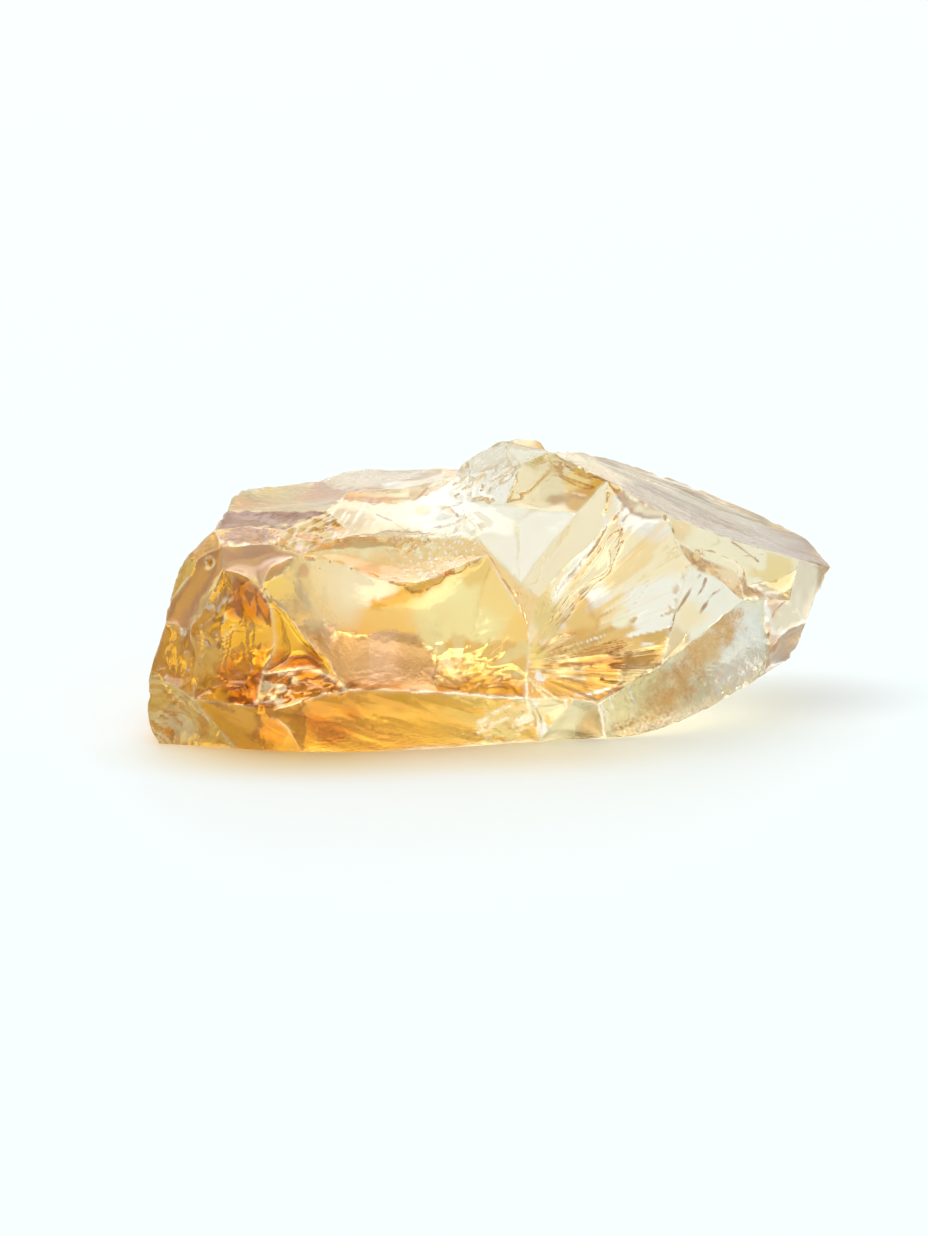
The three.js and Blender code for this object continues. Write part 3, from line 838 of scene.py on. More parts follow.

# Local finishes on the facets: colour, veil, frost and share, laid on in order. Some are painted
# highlights, glints and shade, marked where they stand.
PAINTS = {
    "front": [
        # Paler cream tint on the front's upper left: painted highlight.
        (CREAM, 0.1, 0.04, patch((-9, -3.9, 7.6), 2.6, 1.2)),
        (CREAM, 0.05, 0.03, patch((-6.6, -3.8, 7.9), 1.5, 0.6)),
        ((1, 0.8, 0.25), 0.05, 0.03, patch((-1.4, -4.4, 6.1), 2.3, 1.4)),
        # Pale peach veil down the front's left edge: painted light over the dark band that refraction
        # makes there.
        ((1, 0.84, 0.5), 0.45, 0.06,
            stripe([(-9.9, -2.9, 8.3), (-9.3, -3.8, 6.9), (-8.8, -4.5, 6.1)], 1, 0.8)),
        (MAUVE, 0.4, 0.05, patch((-9.7, -2.8, 8.3), 0.35, 0.15)),
        # Dark gold painted shade under the dish's lip, with a darker core in the next stripe.
        ((0.7, 0.28, 0.01), 0.05, 0.03, stripe(GOLDEN_LIP_SHADE, 0.6, 0.25)),
        ((0.58, 0.22, 0.005), 0.05, 0.03,
            stripe([(-5.5, -4.2, 7.05), (-4.4, -4.2, 7.5), (-2.4, -4.05, 8.3)], 0.2, 0.15)),
        ((0.9, 0.5, 0.08), 0.1, 0.03, patch((-0.7, -4, 8.4), 0.6, 0.4)),
        (ROSE, 0.75, 0.2, both(under(5.35), LEFT_OF_STEP)),
        ((0.92, 0.54, 0.26), 0.7, 0.2,
            both(under(5.5), grain((0, -0.6, -1), 0.5, 4, 0.4), LEFT_OF_STEP)),
        ((0.86, 0.42, 0.06), 0.22, 0.03, both(under(5.1), RIGHT_OF_STEP)),
        # Pale streaks on the hackles: painted highlights.
        ((0.96, 0.66, 0.2), 0.3, 0.03,
            both(streaks(HACKLE_ORIGIN, 0.09, 0.4), under(5.3), RIGHT_OF_STEP)),
        (DARK_GOLD, 0.1, 0.03,
            both(streaks((0.5, -6.4, 2), 0.14, 0.35, 141), patch((0.4, -5.9, 3.9), 1.5, 0.4))),
        ((0.66, 0.34, 0.09), 0.7, 0.2,
            both(under(5.2, 0.6), beside((-4.6, -5, 4.5), (1, 0, 0), 1.2), LEFT_OF_STEP)),
        ((0.27, 0.062, 0.0004), 0.1, 0.05, under(3.4, 0.9)),
        ((0.43, 0.13, 0.002), 0.1, 0.03, patch((-0.4, -6.3, 2.9), 0.7, 0.6)),
        ((1, 0.8, 0.28), 0.2, 0.03, patch((-3.2, -4.6, 5.3), 0.7, 0.5)),
        ((0.76, 0.5, 0.33), 0.35, 0.06, patch((-8.3, -5, 5.5), 0.6, 0.5)),
        ((1, 0.6, 0.12), 0.04, 0.03, patch((0.6, -4.5, 7.2), 1.1, 1)),
    ],
    "scoop_left": [
        ((1, 0.72, 0.2), 0.4, 0.04, patch((-14.7, -4.8, 4.3), 1.2, 0.8)),
        (BURNT_AMBER, 0.12, 0.03, patch((-13.1, -4.9, 3.1), 1.2, 0.8)),
        ((0.8, 0.24, 0.002), 0.12, 0.03, patch((-11.9, -4.6, 3.9), 0.7, 0.6)),
        ((0.44, 0.09, 0.001), 0.1, 0.03, patch((-12.3, -3.6, 6.9), 1.3, 0.6)),
        ((0.26, 0.038, 0.0005), 0.1, 0.03, patch((-12.2, -6.4, 2.5), 1.5, 0.7)),
        ((1, 0.36, 0.001), 0.12, 0.03, patch((-12.8, -4.4, 3.6), 0.5, 0.4)),
        (BROWN, 0.3, 0.03,
            both(flecks(0.3, 0.5), stripe([(-13.7, -3.3, 7.4), (-14.6, -4.1, 5.2)], 1.2, 0.5))),
        (HONEY, 0.3, 0.03, stripe([(-14, -3.3, 7.6), (-14.5, -3.9, 6.3), (-15.1, -4.7, 4.9)], 0.35)),
        # White flecks: painted glints.
        (WHITE, 0.4, 0.03, both(flecks(0.3, 0.3), patch((-14.4, -4.2, 6), 1.3, 0.6))),
    ],
    "scoop_right": [
        (BURNT_AMBER, 0.12, 0.03, patch((-11.4, -5, 4), 0.8, 0.6)),
        ((0.24, 0.035, 0.0004), 0.1, 0.03, patch((-9.6, -5.5, 3.8), 1.1, 0.6)),
        ((1, 0.38, 0.002), 0.1, 0.02, patch((-8.4, -6.3, 3.6), 0.6, 0.5)),
    ],
    "scoop_floor": [(CREAM, 0.5, 0.03, both(flecks(0.4, 0.5), patch((-10.9, -6.3, 2.9), 0.9, 0.4)))],
    "brown": [
        (STRAW, 0.3, 0.04, stripe([(-13.7, -3.1, 8.4), (-14.6, -3.6, 7.2), (-15.5, -4.8, 5.6)], 0.5)),
        # Pale ring round the pit and darker middle inside it: painted highlight on its rim and painted
        # shade in the hollow.
        (CREAM, 0.4, 0.04, patch(BROWN_PIT, 0.42, 0.12)),
        (BROWN_AMBER, 0.3, 0.03, patch(BROWN_PIT, 0.26, 0.08)),
    ],
    "heel": [
        ((1, 0.94, 0.6), 0.45, 0.04, patch((-16.5, -6.4, 0.6), 1.2, 0.9)),
        ((1, 0.86, 0.42), 0.35, 0.04, ripples((-18.2, -7, -0.6), 0.2, 0.8, 0.32, 158)),
        ((0.8, 0.4, 0.04), 0.25, 0.04, ripples((-18.2, -7, -0.6), 0.17, 0.8, 0.34)),
    ],
    # The white flecks on the notch are painted glints.
    "notch": [(WHITE, 0.4, 0.03, flecks(0.35, 0.22)), (BROWN_AMBER, 0.2, 0.03, flecks(0.7, 0.25, 151))],
    "petal": [(CREAM, 0.2, 0.03, stripe([(-12.8, -3.5, 8), (-12.2, -3.6, 7.9)], 0.4))],
    "dish": [
        (HONEY, 0.25, 0.04, flecks(1.4, 0.65)),
        ((1, 0.97, 0.62), 0.3, 0.04, stripe([(-8.6, -2.2, 9.2), (-3.4, -2.3, 9.5)], 0.8, 1.2)),
        ((0.84, 0.36, 0.04), 0.2, 0.04, patch((-6.2, -3.7, 8.2), 0.9, 0.5)),
        ((0.9, 0.56, 0.18), 0.25, 0.16,
            both(flecks(0.22, 0.45, 155), patch((-3, -2.5, 9.4), 2.4, 1.6))),
        # White flecks: painted glints.
        (WHITE, 0.5, 0.05, both(flecks(0.12, 0.25, 156), patch((-2.6, -2.5, 9.5), 2.4, 1.6))),
    ],
    "fan": [
        (HONEY, 0.05, 0.02, streaks(FAN_ORIGIN, 0.045, 0.3, 147)),
        (WHITE, 0.1, 0.02, streaks(FAN_ORIGIN, 0.1, 0.28)),
        (HONEY, 0.05, 0.02, flames(FAN_ORIGIN, 5.9, 1.8, 0.1, 0.3, 133)),
        # White tint over the fan's right: painted light that covers dark patches from refraction.
        (WHITE, 0.05, 0.03, patch((9.2, -3.4, 5.8), 2.2, 0.8)),
        # White veil under the fan's top ridge: painted highlight.
        (WHITE, 0.3, 0.03, patch((7.9, -1.7, 11.3), 1.4, 0.8)),
        ((0.9, 0.6, 0.2), 0.15, 0.02, flames(FAN_ORIGIN, 4.3, 1.1, 0.1, 0.35, 149)),
        ((0.72, 0.37, 0.06), 0.3, 0.03,
            both(flames(FAN_ORIGIN, 4.5, 2.3, 0.05, 0.08), beside((4.2, -5, 4), (1, 0, -0.4), 1.5))),
        ((0.56, 0.22, 0.015), 0.2, 0.02,
            both(flames(FAN_ORIGIN, 4.2, 2, 0.045, 0.08, 131), under(4.8, 1))),
        # Pale streaks low on the fan: painted highlights on the hackle streaks.
        ((0.98, 0.8, 0.4), 0.2, 0.02, both(streaks(FAN_ORIGIN, 0.06, 0.35, 148), under(3.8, 0.8))),
        ((0.43, 0.145, 0.01), 0.14, 0.02, patch((6, -4.5, 3.2), 1.3, 0.9)),
        ((0.34, 0.09, 0.005), 0.2, 0.02,
            both(streaks(FAN_ORIGIN, 0.05, 0.5, 151), patch((6, -4.6, 3.1), 1.6, 0.8))),
        ((0.66, 0.26, 0.03), 0.12, 0.02,
            both(streaks(FAN_ORIGIN, 0.07, 0.8, 152), patch((4.7, -3.4, 5.8), 1.2, 0.6))),
        ((0.84, 0.58, 0.16), 0.08, 0.02, patch((3, -4.3, 6), 1.1, 0.8)),
        ((0.84, 0.44, 0.08), 0.08, 0.02, patch((4.6, -3.3, 5.9), 0.9, 0.6)),
        ((0.78, 0.38, 0.07), 0.1, 0.02,
            both(streaks(FAN_ORIGIN, 0.05, 0.65, 153), patch((6.9, -3.5, 4.8), 1, 0.6))),
        ((0.95, 0.66, 0.12), 0.16, 0.02, patch((2.5, -5.4, 4.3), 0.6, 0.5)),
        ((1, 0.85, 0.46), 0.05, 0.02, patch((3.9, -3.6, 6.7), 0.6, 0.5)),
        ((1, 0.95, 0.68), 0.05, 0.02, patch((6.9, -3, 5.9), 0.5, 0.4)),
        ((0.8, 0.58, 0.2), 0.18, 0.02, patch((7.2, -4.8, 3), 0.6, 0.5)),
        (WHITE, 0.4, 0.02, patch((2.6, -5.7, 3.3), 0.3, 0.1)),
        (WHITE, 0.3, 0.02, stripe([(3.4, -5.8, 2.4), (4.9, -5.4, 2.2), (6.2, -5.1, 2.5)], 0.14, 0.1)),
        ((0.72, 0.48, 0.26), 0.25, 0.08,
            both(flecks(0.18, 0.5),
                stripe([(10.3, -2.8, 8.2), (9.8, -3, 7.3), (9.6, -3.4, 6.4), (9.2, -4.2, 4.5)], 0.4))),
    ],
    "band": [
        ((0.6, 0.32, 0.025), 0.25, 0.05, patch((1.2, -6.6, 1.8), 3.4, 2.8)),
        ((0.6, 0.46, 0.1), 0.25, 0.05, patch((0.6, -6.4, 0.5), 0.9, 0.6)),
        (DARK_AMBER, 0.28, 0.06, patch((-8.2, -7.3, 1.9), 1.6, 1)),
        ((0.54, 0.2, 0.002), 0.25, 0.05, stripe([(-9.4, -7.4, 2.4), (-2.5, -6.9, 2.6)], 1, 0.8)),
        ((0.66, 0.25, 0.008), 0.22, 0.05, grain((1, 0, -0.35), 0.25, 5, 0.35)),
        ((0.62, 0.42, 0.1), 0.2, 0.03, stripe(BAND_LENS, 1.35, 0.25)),
        (CREAM, 0.3, 0.03, both(grain((1, 0, 0.4), 0.14, 1, 0.3), stripe(BAND_LENS, 1.4, 0.25))),
        (DARK_GOLD, 0.2, 0.03,
            both(grain((1, 0, 0.4), 0.14, 1, 0.25, 147), stripe(BAND_LENS, 1.6, 0.25))),
    ],
    "toe": [
        ((0.6, 0.19, 0.002), 0.22, 0.05, patch((-11.2, -7.6, 1), 0.9, 0.6)),
        (BROWN_AMBER, 0.2, 0.05, grain((1, 0, -0.45), 0.4, 3, 0.35)),
    ],
    "crest_right": [
        (OLIVE, 0.1, 0.03, stripe([(2.2, 0.2, 13.4), (4.6, -0.5, 13.2)], 1.1, 0.5)),
        ((0.9, 0.74, 0.42), 0.25, 0.04, patch((4, -0.8, 12.6), 1.6, 1)),
        ((0.97, 0.63, 0.16), 0.25, 0.04, patch((5.1, -1.2, 12.6), 1.2, 0.8)),
        ((0.68, 0.33, 0.08), 0.12, 0.03, patch((4.7, -1.8, 11.5), 0.9, 0.6)),
        ((0.61, 0.22, 0.02), 0.15, 0.03, patch((5.4, -1.6, 12.2), 0.7, 0.5)),
        (BROWN_AMBER, 0.15, 0.03, patch((6, -1.6, 12.6), 0.5, 0.3)),
        (BROWN, 0.2, 0.03, stripe([(3.2, -1, 11.7), (4.8, -1.7, 12)], 0.4, 0.3)),
    ],
    "foot_right": [((0.4, 0.27, 0.08), 0.35, 0.06, patch((5.9, -5.6, 0.5), 1.4, 0.8))],
    "crest_left": [
        (HONEY, 0.15, 0.03, grain((1, 0.25, 1), 0.35, 1.6, 0.15)),
        (WHITE, 0.3, 0.03, grain((1, 0.25, 1), 0.3, 1.6, 0.3, 146)),
    ],
    "belt": [
        (BROWN, 0.3, 0.05, flecks(0.3, 0.4)),
        # White flecks: painted glints.
        (WHITE, 0.4, 0.05, flecks(0.25, 0.3, 151)),
        ((0.27, 0.1, 0.02), 0.35, 0.08, patch((-12.6, -0.8, 9.7), 1.2, 0.5)),
    ],
    "shelf": [
        (WHITE, 0.35, 0.04, grain((0.3, 0.9, 0.5), 0.2, 1.5, 0.4)),
        (DARK_GOLD, 0.15, 0.04, flecks(0.6, 0.3)),
    ],
    "slab": [
        ((0.42, 0.34, 0.15), 0.15, 0.03, patch((-7.3, -0.7, 10.3), 1.2, 0.6)),
        (KHAKI, 0.1, 0.03, patch((-5, -1.4, 10.1), 1.3, 0.8, 101)),
        (KHAKI, 0.15, 0.03, grain((0.3, 0.9, 0.3), 0.5, 3, 0.15)),
        (WHITE, 0.15, 0.03, patch((-2.6, 0.2, 11), 1.6, 1)),
        (WHITE, 0, 0.02, patch((-4.8, 2, 11.3), 1.8, 0.8)),
        (WHITE, 0.3, 0.03,
            both(grain((0.3, 0.9, 0.5), 0.12, 1.2, 0.35), patch((-7, 0.4, 10.7), 1.5, 0.8))),
        ((0.8, 0.6, 0.36), 0.15, 0.04,
            stripe([(-2.8, 0.9, 11), (-2.1, -0.1, 10.7), (-1.7, -1, 10.5)], 0.35, 0.15)),
        ((0.86, 0.7, 0.46), 0.1, 0.04, patch((-3.5, 0.6, 10.8), 0.5, 0.4)),
    ],
    "low_top": [
        ((0.55, 0.41, 0.12), 0.42, 0.15, patch((-12.2, 3.6, 10.2), 1.6, 1.2)),
        ((0.5, 0.43, 0.31), 0.4, 0.12, patch((-6, 6, 11), 4.2, 2)),
        ((0.9, 0.9, 0.84), 0.45, 0.12, both(flecks(2.2, 0.35), patch((-5, 6, 11), 4, 2))),
    ],
    "bench": [(OLIVE, 0.4, 0.12, both(flecks(0.3, 0.4), beside((-12.2, 0, 10), (0, -1, 0), 0.5)))],
    "narrow": [(BROWN, 0.2, 0.04, stripe([(-0.3, -3.4, 9.7), (1.3, -4.7, 7.6), (2, -5, 6.6)], 0.2))],
    # The white flecks on the instep are painted glints.
    "instep": [(WHITE, 0.35, 0.03, flecks(0.4, 0.35)), (GOLD, 0.2, 0.03, flecks(0.3, 0.25, 151))],
    "fan_side": [
        (IVORY, 0.1, 0.03, patch((10.4, -3.6, 5.9), 0.8, 0.8)),
        ((0.74, 0.52, 0.24), 0.15, 0.03, patch((9.6, -4.1, 4.6), 0.9, 0.6)),
    ],
    "chips": [
        (BROWN, 0.4, 0.1, flecks(0.22, 0.5)),
        (HONEY, 0.2, 0.05, flecks(0.3, 0.3, 151)),
        ((1, 0.72, 0.4), 0.25, 0.06, patch((12.8, -2.1, 7.8), 0.7, 0.5)),
    ],
    "upper_right": [
        ((0.9, 0.62, 0.28), 0.15, 0.03, patch((9.8, -1.6, 10.2), 0.7, 0.5)),
        (STRAW, 0.25, 0.05, both(flecks(1, 0.5), patch((15.2, -0.6, 7.6), 1.6, 1))),
        ((0.57, 0.29, 0.11), 0.45, 0.1, stripe([(12.9, -2.1, 7.6), (13.8, -2.1, 7)], 0.9, 0.3)),
        # White flecks: painted glints.
        (WHITE, 0.4, 0.03, both(flecks(0.3, 0.4), patch((14.6, -1.6, 6.9), 0.7, 0.3))),
    ],
    "end_small": [
        ((0.8, 0.68, 0.48), 0.25, 0.06, patch((15.6, -0.9, 5.6), 1.1, 0.5)),
        (MAUVE, 0.3, 0.1, both(beside((15.2, -1.4, 4.8), (-1, 0, 0), 0.3), flecks(0.8, 0.5))),
    ],
    "frosted": [
        ((0.79, 0.7, 0.32), 0.5, 0.3, patch((7.4, -5, 1.6), 2.6, 2)),
        ((0.92, 0.94, 0.84), 0.55, 0.3,
            both(grain((-0.4, 0, 1), 0.12, 2, 0.3), patch((6.4, -5.3, 2), 1.6, 1.4))),
        ((0.8, 0.84, 0.8), 0.55, 0.3, patch((13.2, -2.9, 4.6), 1.7, 1.4)),
        ((1, 1, 0.9), 0.6, 0.3, patch((13, -2.9, 2.6), 1.6, 1.2)),
        ((0.6, 0.35, 0.11), 0.55, 0.3,
            stripe([(12.2, -3.2, 5.3), (10.7, -3.8, 3.7), (9.2, -4.6, 1.7)], 1.4, 2.2)),
        ((0.66, 0.42, 0.15), 0.55, 0.3, patch((11.3, -3.6, 4.3), 0.9, 0.9)),
        (CREAM, 0.5, 0.3, stripe([(7.8, -5.3, 0.1), (11, -4.2, 1), (14.2, -2.4, 2.4)], 0.8, 0.5)),
    ],
    "slope": [
        (CREAM, 0.3, 0.12, streaks(SLOPE_ORIGIN, 0.05, 0.25)),
        (GREY_MAUVE, 0.5, 0.15, streaks(SLOPE_ORIGIN, 0.08, 0.35, 141)),
        ((0.4, 0.3, 0.2), 0.5, 0.15, streaks(SLOPE_ORIGIN, 0.02, 0.25, 143)),
        (CREAM, 0.3, 0.1, patch((5.5, 0.5, 13.2), 2.2, 1.5)),
    ],
}

# Rusty dust on some facets, by share.
DUST = {
    "frosted": [
        stripe([(12.6, -3, 5.7), (10.4, -3.9, 3.4), (8.6, -4.9, 0.9)], 1.5, 1.2),
        patch((7.2, -5.4, 0.4), 0.7, 0.6),
    ],
    "foot_right": [patch((5.3, -5.6, 0.7), 0.4, 0.3)],
}

# Hair cracks on some facets, as lines through some places, their half width and soft edge, and their
# sway after a seed.
CRACKS = {
    "upper_right": [
        [(10.9, -1.7, 9.1), (11.7, -1.2, 8.9), (12.3, -1.1, 8.5), (13, -1, 8.2), (13, -1.8, 7.8)],
        [(12.8, -0.4, 9.2), (13.3, -0.3, 8.8), (14.2, -0.2, 8.1)],
        [(13.2, -0.5, 8.5), (13.8, -0.3, 8.4), (14.5, 0.1, 8.4)],
    ],
    "fan_side": [
        [(11, -2.8, 8), (10.3, -3.2, 7), (9.8, -3.5, 6.3)],
        [(11.3, -2.8, 7.8), (11.1, -2.9, 7.3), (10.7, -3.2, 6.8)],
        [(12.3, -2.8, 7.4), (11.6, -3, 7), (10.9, -3.4, 6), (10.6, -3.6, 5.5), (10.3, -4, 4.8)],
    ],
    "fan": [[(9.8, -3.5, 6.3), (9.4, -3.9, 5.3)], [(8.1, -1.8, 9.6), (8.4, -2, 8.9), (9, -2.1, 8.7)]],
    "front": [[(-9.2, -3.2, 7.9), (-8.7, -3, 8.7)]],
    "slab": [
        [(-2.4, 1.4, 11.3), (-2.1, 0.3, 10.9), (-1.6, -0.6, 10.6)],
        [(-5.9, 0.3, 10.5), (-5.1, -0.2, 10.3), (-4.4, -1.2, 10.1)],
    ],
    "end_small": [[(15.7, -1, 6.3), (15.1, -1.6, 5.8), (14.9, -1.7, 5.4)]],
}
CRACK_WIDTH = (0.03, 0.09)
CRACK_SWAY = (170, 0.05, 0.4)

# Fine streaks on some facets: their depth, how they run, and their origin or direction, spread or
# width, and length.
GRAINS = {
    "fan": (0.018, ray_places, FAN_ORIGIN, 0.02, 4),
    "band": (0.01, grain_places, (1, 0, -0.35), 0.16, 3),
    "toe": (0.008, grain_places, (1, 0, -0.45), 0.16, 3),
    "heel": (0.045, ring_places, (-17, -7, 0.1), 0.2, 1.5),
    "notch": (0.03, grain_places, (-0.2, -0.6, -1), 0.2, 1),
    "slab": (0.006, grain_places, (0.3, 0.9, 0.3), 0.15, 3),
    "shelf": (0.03, ray_places, (-12.5, -2, 10), 0.03, 1.5),
    "crest_left": (0.012, grain_places, (1, 0.25, 1), 0.35, 2.5),
    "crest_right": (0.008, grain_places, (1, -0.4, -0.2), 0.2, 2),
    "narrow": (0.02, grain_places, (0.5, -0.4, -1), 0.2, 1),
    "belt": (0.03, grain_places, (1, 0.2, 0.1), 0.2, 0.3),
    "frosted": (0.01, ray_places, (2, -4, 9), 0.012, 1.2),
    "slope": (0.01, ray_places, SLOPE_ORIGIN, 0.02, 5),
}

# Painted highlight along the ridges, standing in for their sparkle and partly for wear: a pale line
# this wide, and the waves that leave it out in places.
RIDGE_HIGHLIGHT_AND_WEAR = (CREAM, 0.3, 0.05)
RIDGE_HIGHLIGHT_WIDTH = 0.04
RIDGE_HIGHLIGHT_WAVES = (160, 1, 0.9)

# A relief dies away this near to its facet's rim.
RELIEF_FADE = 0.5
# Settings of the triangulation: it keeps what lies inside the rim, and joins points this close.
KEEP_INSIDE = 1
SAME_PLACE = 1e-7


def hexagons(polygon, spacing):
    """Rows of evenly spaced flat points over a polygon's box."""
    low, high = polygon.min(axis=0), polygon.max(axis=0)
    across = np.arange(low[0], high[0] + spacing, spacing)
    along = np.arange(low[1], high[1], spacing * math.sqrt(0.75))
    rows = [np.stack([across + spacing / 2 * (i % 2), np.full(len(across), y)], axis=1)
            for i, y in enumerate(along)]
    return np.vstack(rows)


def make_net(facets):
    """The stone's points, its triangles, each one's facet, and each point's distance to a ridge."""
    points, away, triangles, owners, edges = [], [], [], [], {}

    def add(block, gaps):
        points.extend(block)
        away.extend(gaps)
        return list(range(len(points) - len(block), len(points)))

    corners = {name: add([corner(name)], [0])[0] for name in CORNERS}
    for index, facet in enumerate(facets):
        rim = []
        for first, last in sides(facet.loop):
            if (last, first) in edges:
                between = edges[last, first][::-1]
            else:
                block = edge_points(first, last, RIM_STEP)[1:]
                between = edges[first, last] = add(block, [0] * len(block))
            rim += [corners[first]] + between
        polygon = facet.flatten(np.array([points[i] for i in rim]))
        spacing = COARSE_STEP if facet.name in COARSE_FACETS else FINE_STEP
        grid = hexagons(polygon, spacing)
        grid = grid[inside(grid, polygon)]
        block, gaps = facet.surface(grid)
        clear = gaps > RIM_CLEARANCE * spacing
        grid, block, gaps = grid[clear], block[clear], gaps[clear]
        reliefs = RELIEFS.get(facet.name, BACK_RELIEF)
        height = sum(relief(block, facet) for relief in reliefs) * smooth(gaps / RELIEF_FADE)
        numbers = rim + add(block + height[:, None] * facet.out, gaps)
        flat = [Vector(place) for place in np.vstack([polygon, grid])]
        ring = list(sides(list(range(len(rim)))))
        _, _, faces, sources, _, _ = delaunay_2d_cdt(flat, ring, [], KEEP_INSIDE, SAME_PLACE)
        triangles += [[numbers[sources[i][0]] for i in face] for face in faces]
        owners += [index] * len(faces)
    return np.array(points), np.array(triangles), np.array(owners), np.array(away)


# Uneven ridges: size, height and seed of waves all over and of those near the ridges, how near that
# is, and the height over which they set in above the flat base.
BROAD_WAVES = (2.4, 0.07, 70)
RIDGE_WAVES = (0.55, 0.045, 80)
RIDGE_REACH = 0.35
BASE_FADE = 0.5
# Small flakes broken off along the ridges, as round bites: their seed, the height above which they
# lie, their share of ridge points, and their sizes.
FLAKE_SEED = 5
FLAKE_FLOOR = 0.3
FLAKE_SHARE = 0.05
FLAKE_RADIUS = (0.25, 1.1)
FLAKE_DEPTH = (0.03, 0.11)


def bite(points, centre, radius):
    """Pushes the points inside a ball out to its surface."""
    offset = points - centre
    gap = np.linalg.norm(offset, axis=1)
    rows = gap < radius
    points[rows] = centre + offset[rows] * (radius / gap[rows])[:, None]


def roughen(points, triangles, owners, away, facets):
    """Uneven ridges, with small flakes broken off them. The base stays flat."""
    lift = smooth(points[:, 2] / BASE_FADE)[:, None]
    near = np.exp(-away / RIDGE_REACH)[:, None]
    for (size, height, seed), share in ((BROAD_WAVES, 1), (RIDGE_WAVES, near)):
        shift = np.stack([noise(points / size, seed + axis) for axis in range(3)], axis=1)
        points += height * shift * share * lift
    outs = np.array([facet.out for facet in facets])
    pull = np.zeros_like(points)
    for column in triangles.T:
        np.add.at(pull, column, outs[owners])
    random = np.random.default_rng(FLAKE_SEED)
    rim = np.flatnonzero((away == 0) & (points[:, 2] > FLAKE_FLOOR))
    for number in rim[random.random(len(rim)) < FLAKE_SHARE]:
        radius, depth = random.uniform(*FLAKE_RADIUS), random.uniform(*FLAKE_DEPTH)
        bite(points, points[number] + unit(pull[number]) * (radius - depth), radius)
    points[:, 2] = np.maximum(points[:, 2], 0)
    return points


# Attributes that hold one number, and the number where nothing is painted.
LOOKS = {"veil": 0.0, "frost": 0.0, "dust": 0.0, "crack": 1.0}
# Ridges that turn more than this are sharp.
SHARP_ANGLE = math.radians(32)


def paint(mesh, points, triangles, owners, away, facets):
    """Writes the stone's tint, veil, frost, dust, cracks and grain at each triangle's corners."""
    left, right = BODY_RUN
    share = smooth((points[:, 0] - left) / (right - left))[:, None]
    body = np.array(AMBER) * (1 - share) + np.array(CLEAR) * share
    # Pale painted highlight along the ridges, partly wear.
    ridge_highlight = np.exp(-away / RIDGE_HIGHLIGHT_WIDTH) * border(waves(points, *RIDGE_HIGHLIGHT_WAVES), 1)
    count = len(triangles)
    looks = {name: np.full((count, 3), fill) for name, fill in LOOKS.items()}
    tints, grains = np.ones((count, 3, 4)), np.zeros((count, 3, 3))
    for index, facet in enumerate(facets):
        rows = np.flatnonzero(owners == index)
        numbers = triangles[rows].ravel()
        here = points[numbers]
        colour, veil, frost = FINISHES.get(facet.name, (None, *BACK_FINISH))
        tint = body[numbers] if colour is None else np.tile(colour, (len(numbers), 1))
        veil, frost = np.full(len(numbers), veil), np.full(len(numbers), frost)
        layers = [(*finish, part(here, facet)) for *finish, part in PAINTS.get(facet.name, [])]
        # The last layer is the painted ridge highlight.
        for colour, haze, rough, part in layers + [(*RIDGE_HIGHLIGHT_AND_WEAR, ridge_highlight[numbers])]:
            tint = tint + (np.array(colour) - tint) * part[:, None]
            veil = veil + (haze - veil) * part
            frost = frost + (rough - frost) * part
        tints[rows, :, :3] = tint.reshape(-1, 3, 3)
        made = {"veil": veil, "frost": frost}
        if facet.name in DUST:
            made["dust"] = sum(share(here, facet) for share in DUST[facet.name])
        if facet.name in CRACKS:
            gap = np.min([line_gap(here, places) for places in CRACKS[facet.name]], axis=0)
            made["crack"] = gap + waves(here, *CRACK_SWAY)
        for name, values in made.items():
            looks[name][rows] = values.reshape(-1, 3)
        if facet.name in GRAINS:
            depth, locate, *sizes = GRAINS[facet.name]
            place = locate(here, facet, *sizes)
            place[:, 2] = depth
            grains[rows] = place.reshape(-1, 3, 3)
    mesh.color_attributes.new("tint", "FLOAT_COLOR", "CORNER").data.foreach_set("color", tints.ravel())
    mesh.attributes.new("grain", "FLOAT_VECTOR", "CORNER").data.foreach_set("vector", grains.ravel())
    for name, values in looks.items():
        mesh.attributes.new(name, "FLOAT", "CORNER").data.foreach_set("value", values.ravel())


def stone_mesh():
    facets = [Facet(name, hollow, loop.split()) for name, (hollow, loop) in FACETS.items()]
    points, triangles, owners, away = make_net(facets)
    points = roughen(points, triangles, owners, away, facets)
    mesh = bpy.data.meshes.new("rough_citrine")
    mesh.from_pydata((points - CENTRE) * MM, [], triangles)
    mesh.shade_smooth()
    mesh.set_sharp_from_angle(angle=SHARP_ANGLE)
    paint(mesh, points, triangles, owners, away, facets)
    return mesh


def node(tree, kind, inputs, **settings):
    """Adds a shader node. Each input takes a value, or the output of another node."""
    made = tree.nodes.new("ShaderNode" + kind)
    for name, value in settings.items():
        setattr(made, name, value)
    for name, value in inputs.items():
        if isinstance(value, bpy.types.NodeSocket):
            tree.links.new(value, made.inputs[name])
        else:
            made.inputs[name].default_value = value
    return made


def calculate(tree, operation, first, second):
    return node(tree, "Math", {0: first, 1: second}, operation=operation).outputs["Value"]


def blend(tree, factor, first, second):
    """Mixes two colours."""
    return node(tree, "Mix", {"Factor": factor, 6: first, 7: second}, data_type="RGBA").outputs[2]


def fade(tree, value, low, high, start, end):
    """Goes smoothly from start to end as a value goes from low to high."""
    ends = {"Value": value, "From Min": low, "From Max": high, "To Min": start, "To Max": end}
    return node(tree, "MapRange", ends, interpolation_type="SMOOTHSTEP").outputs["Result"]


# Colour of the light that each surface of the stone lets through onto the floor, and share of the
# stone's tint in it.
GLOW = (0.86, 0.86, 0.84, 1)
GLOW_TINT = 0.75
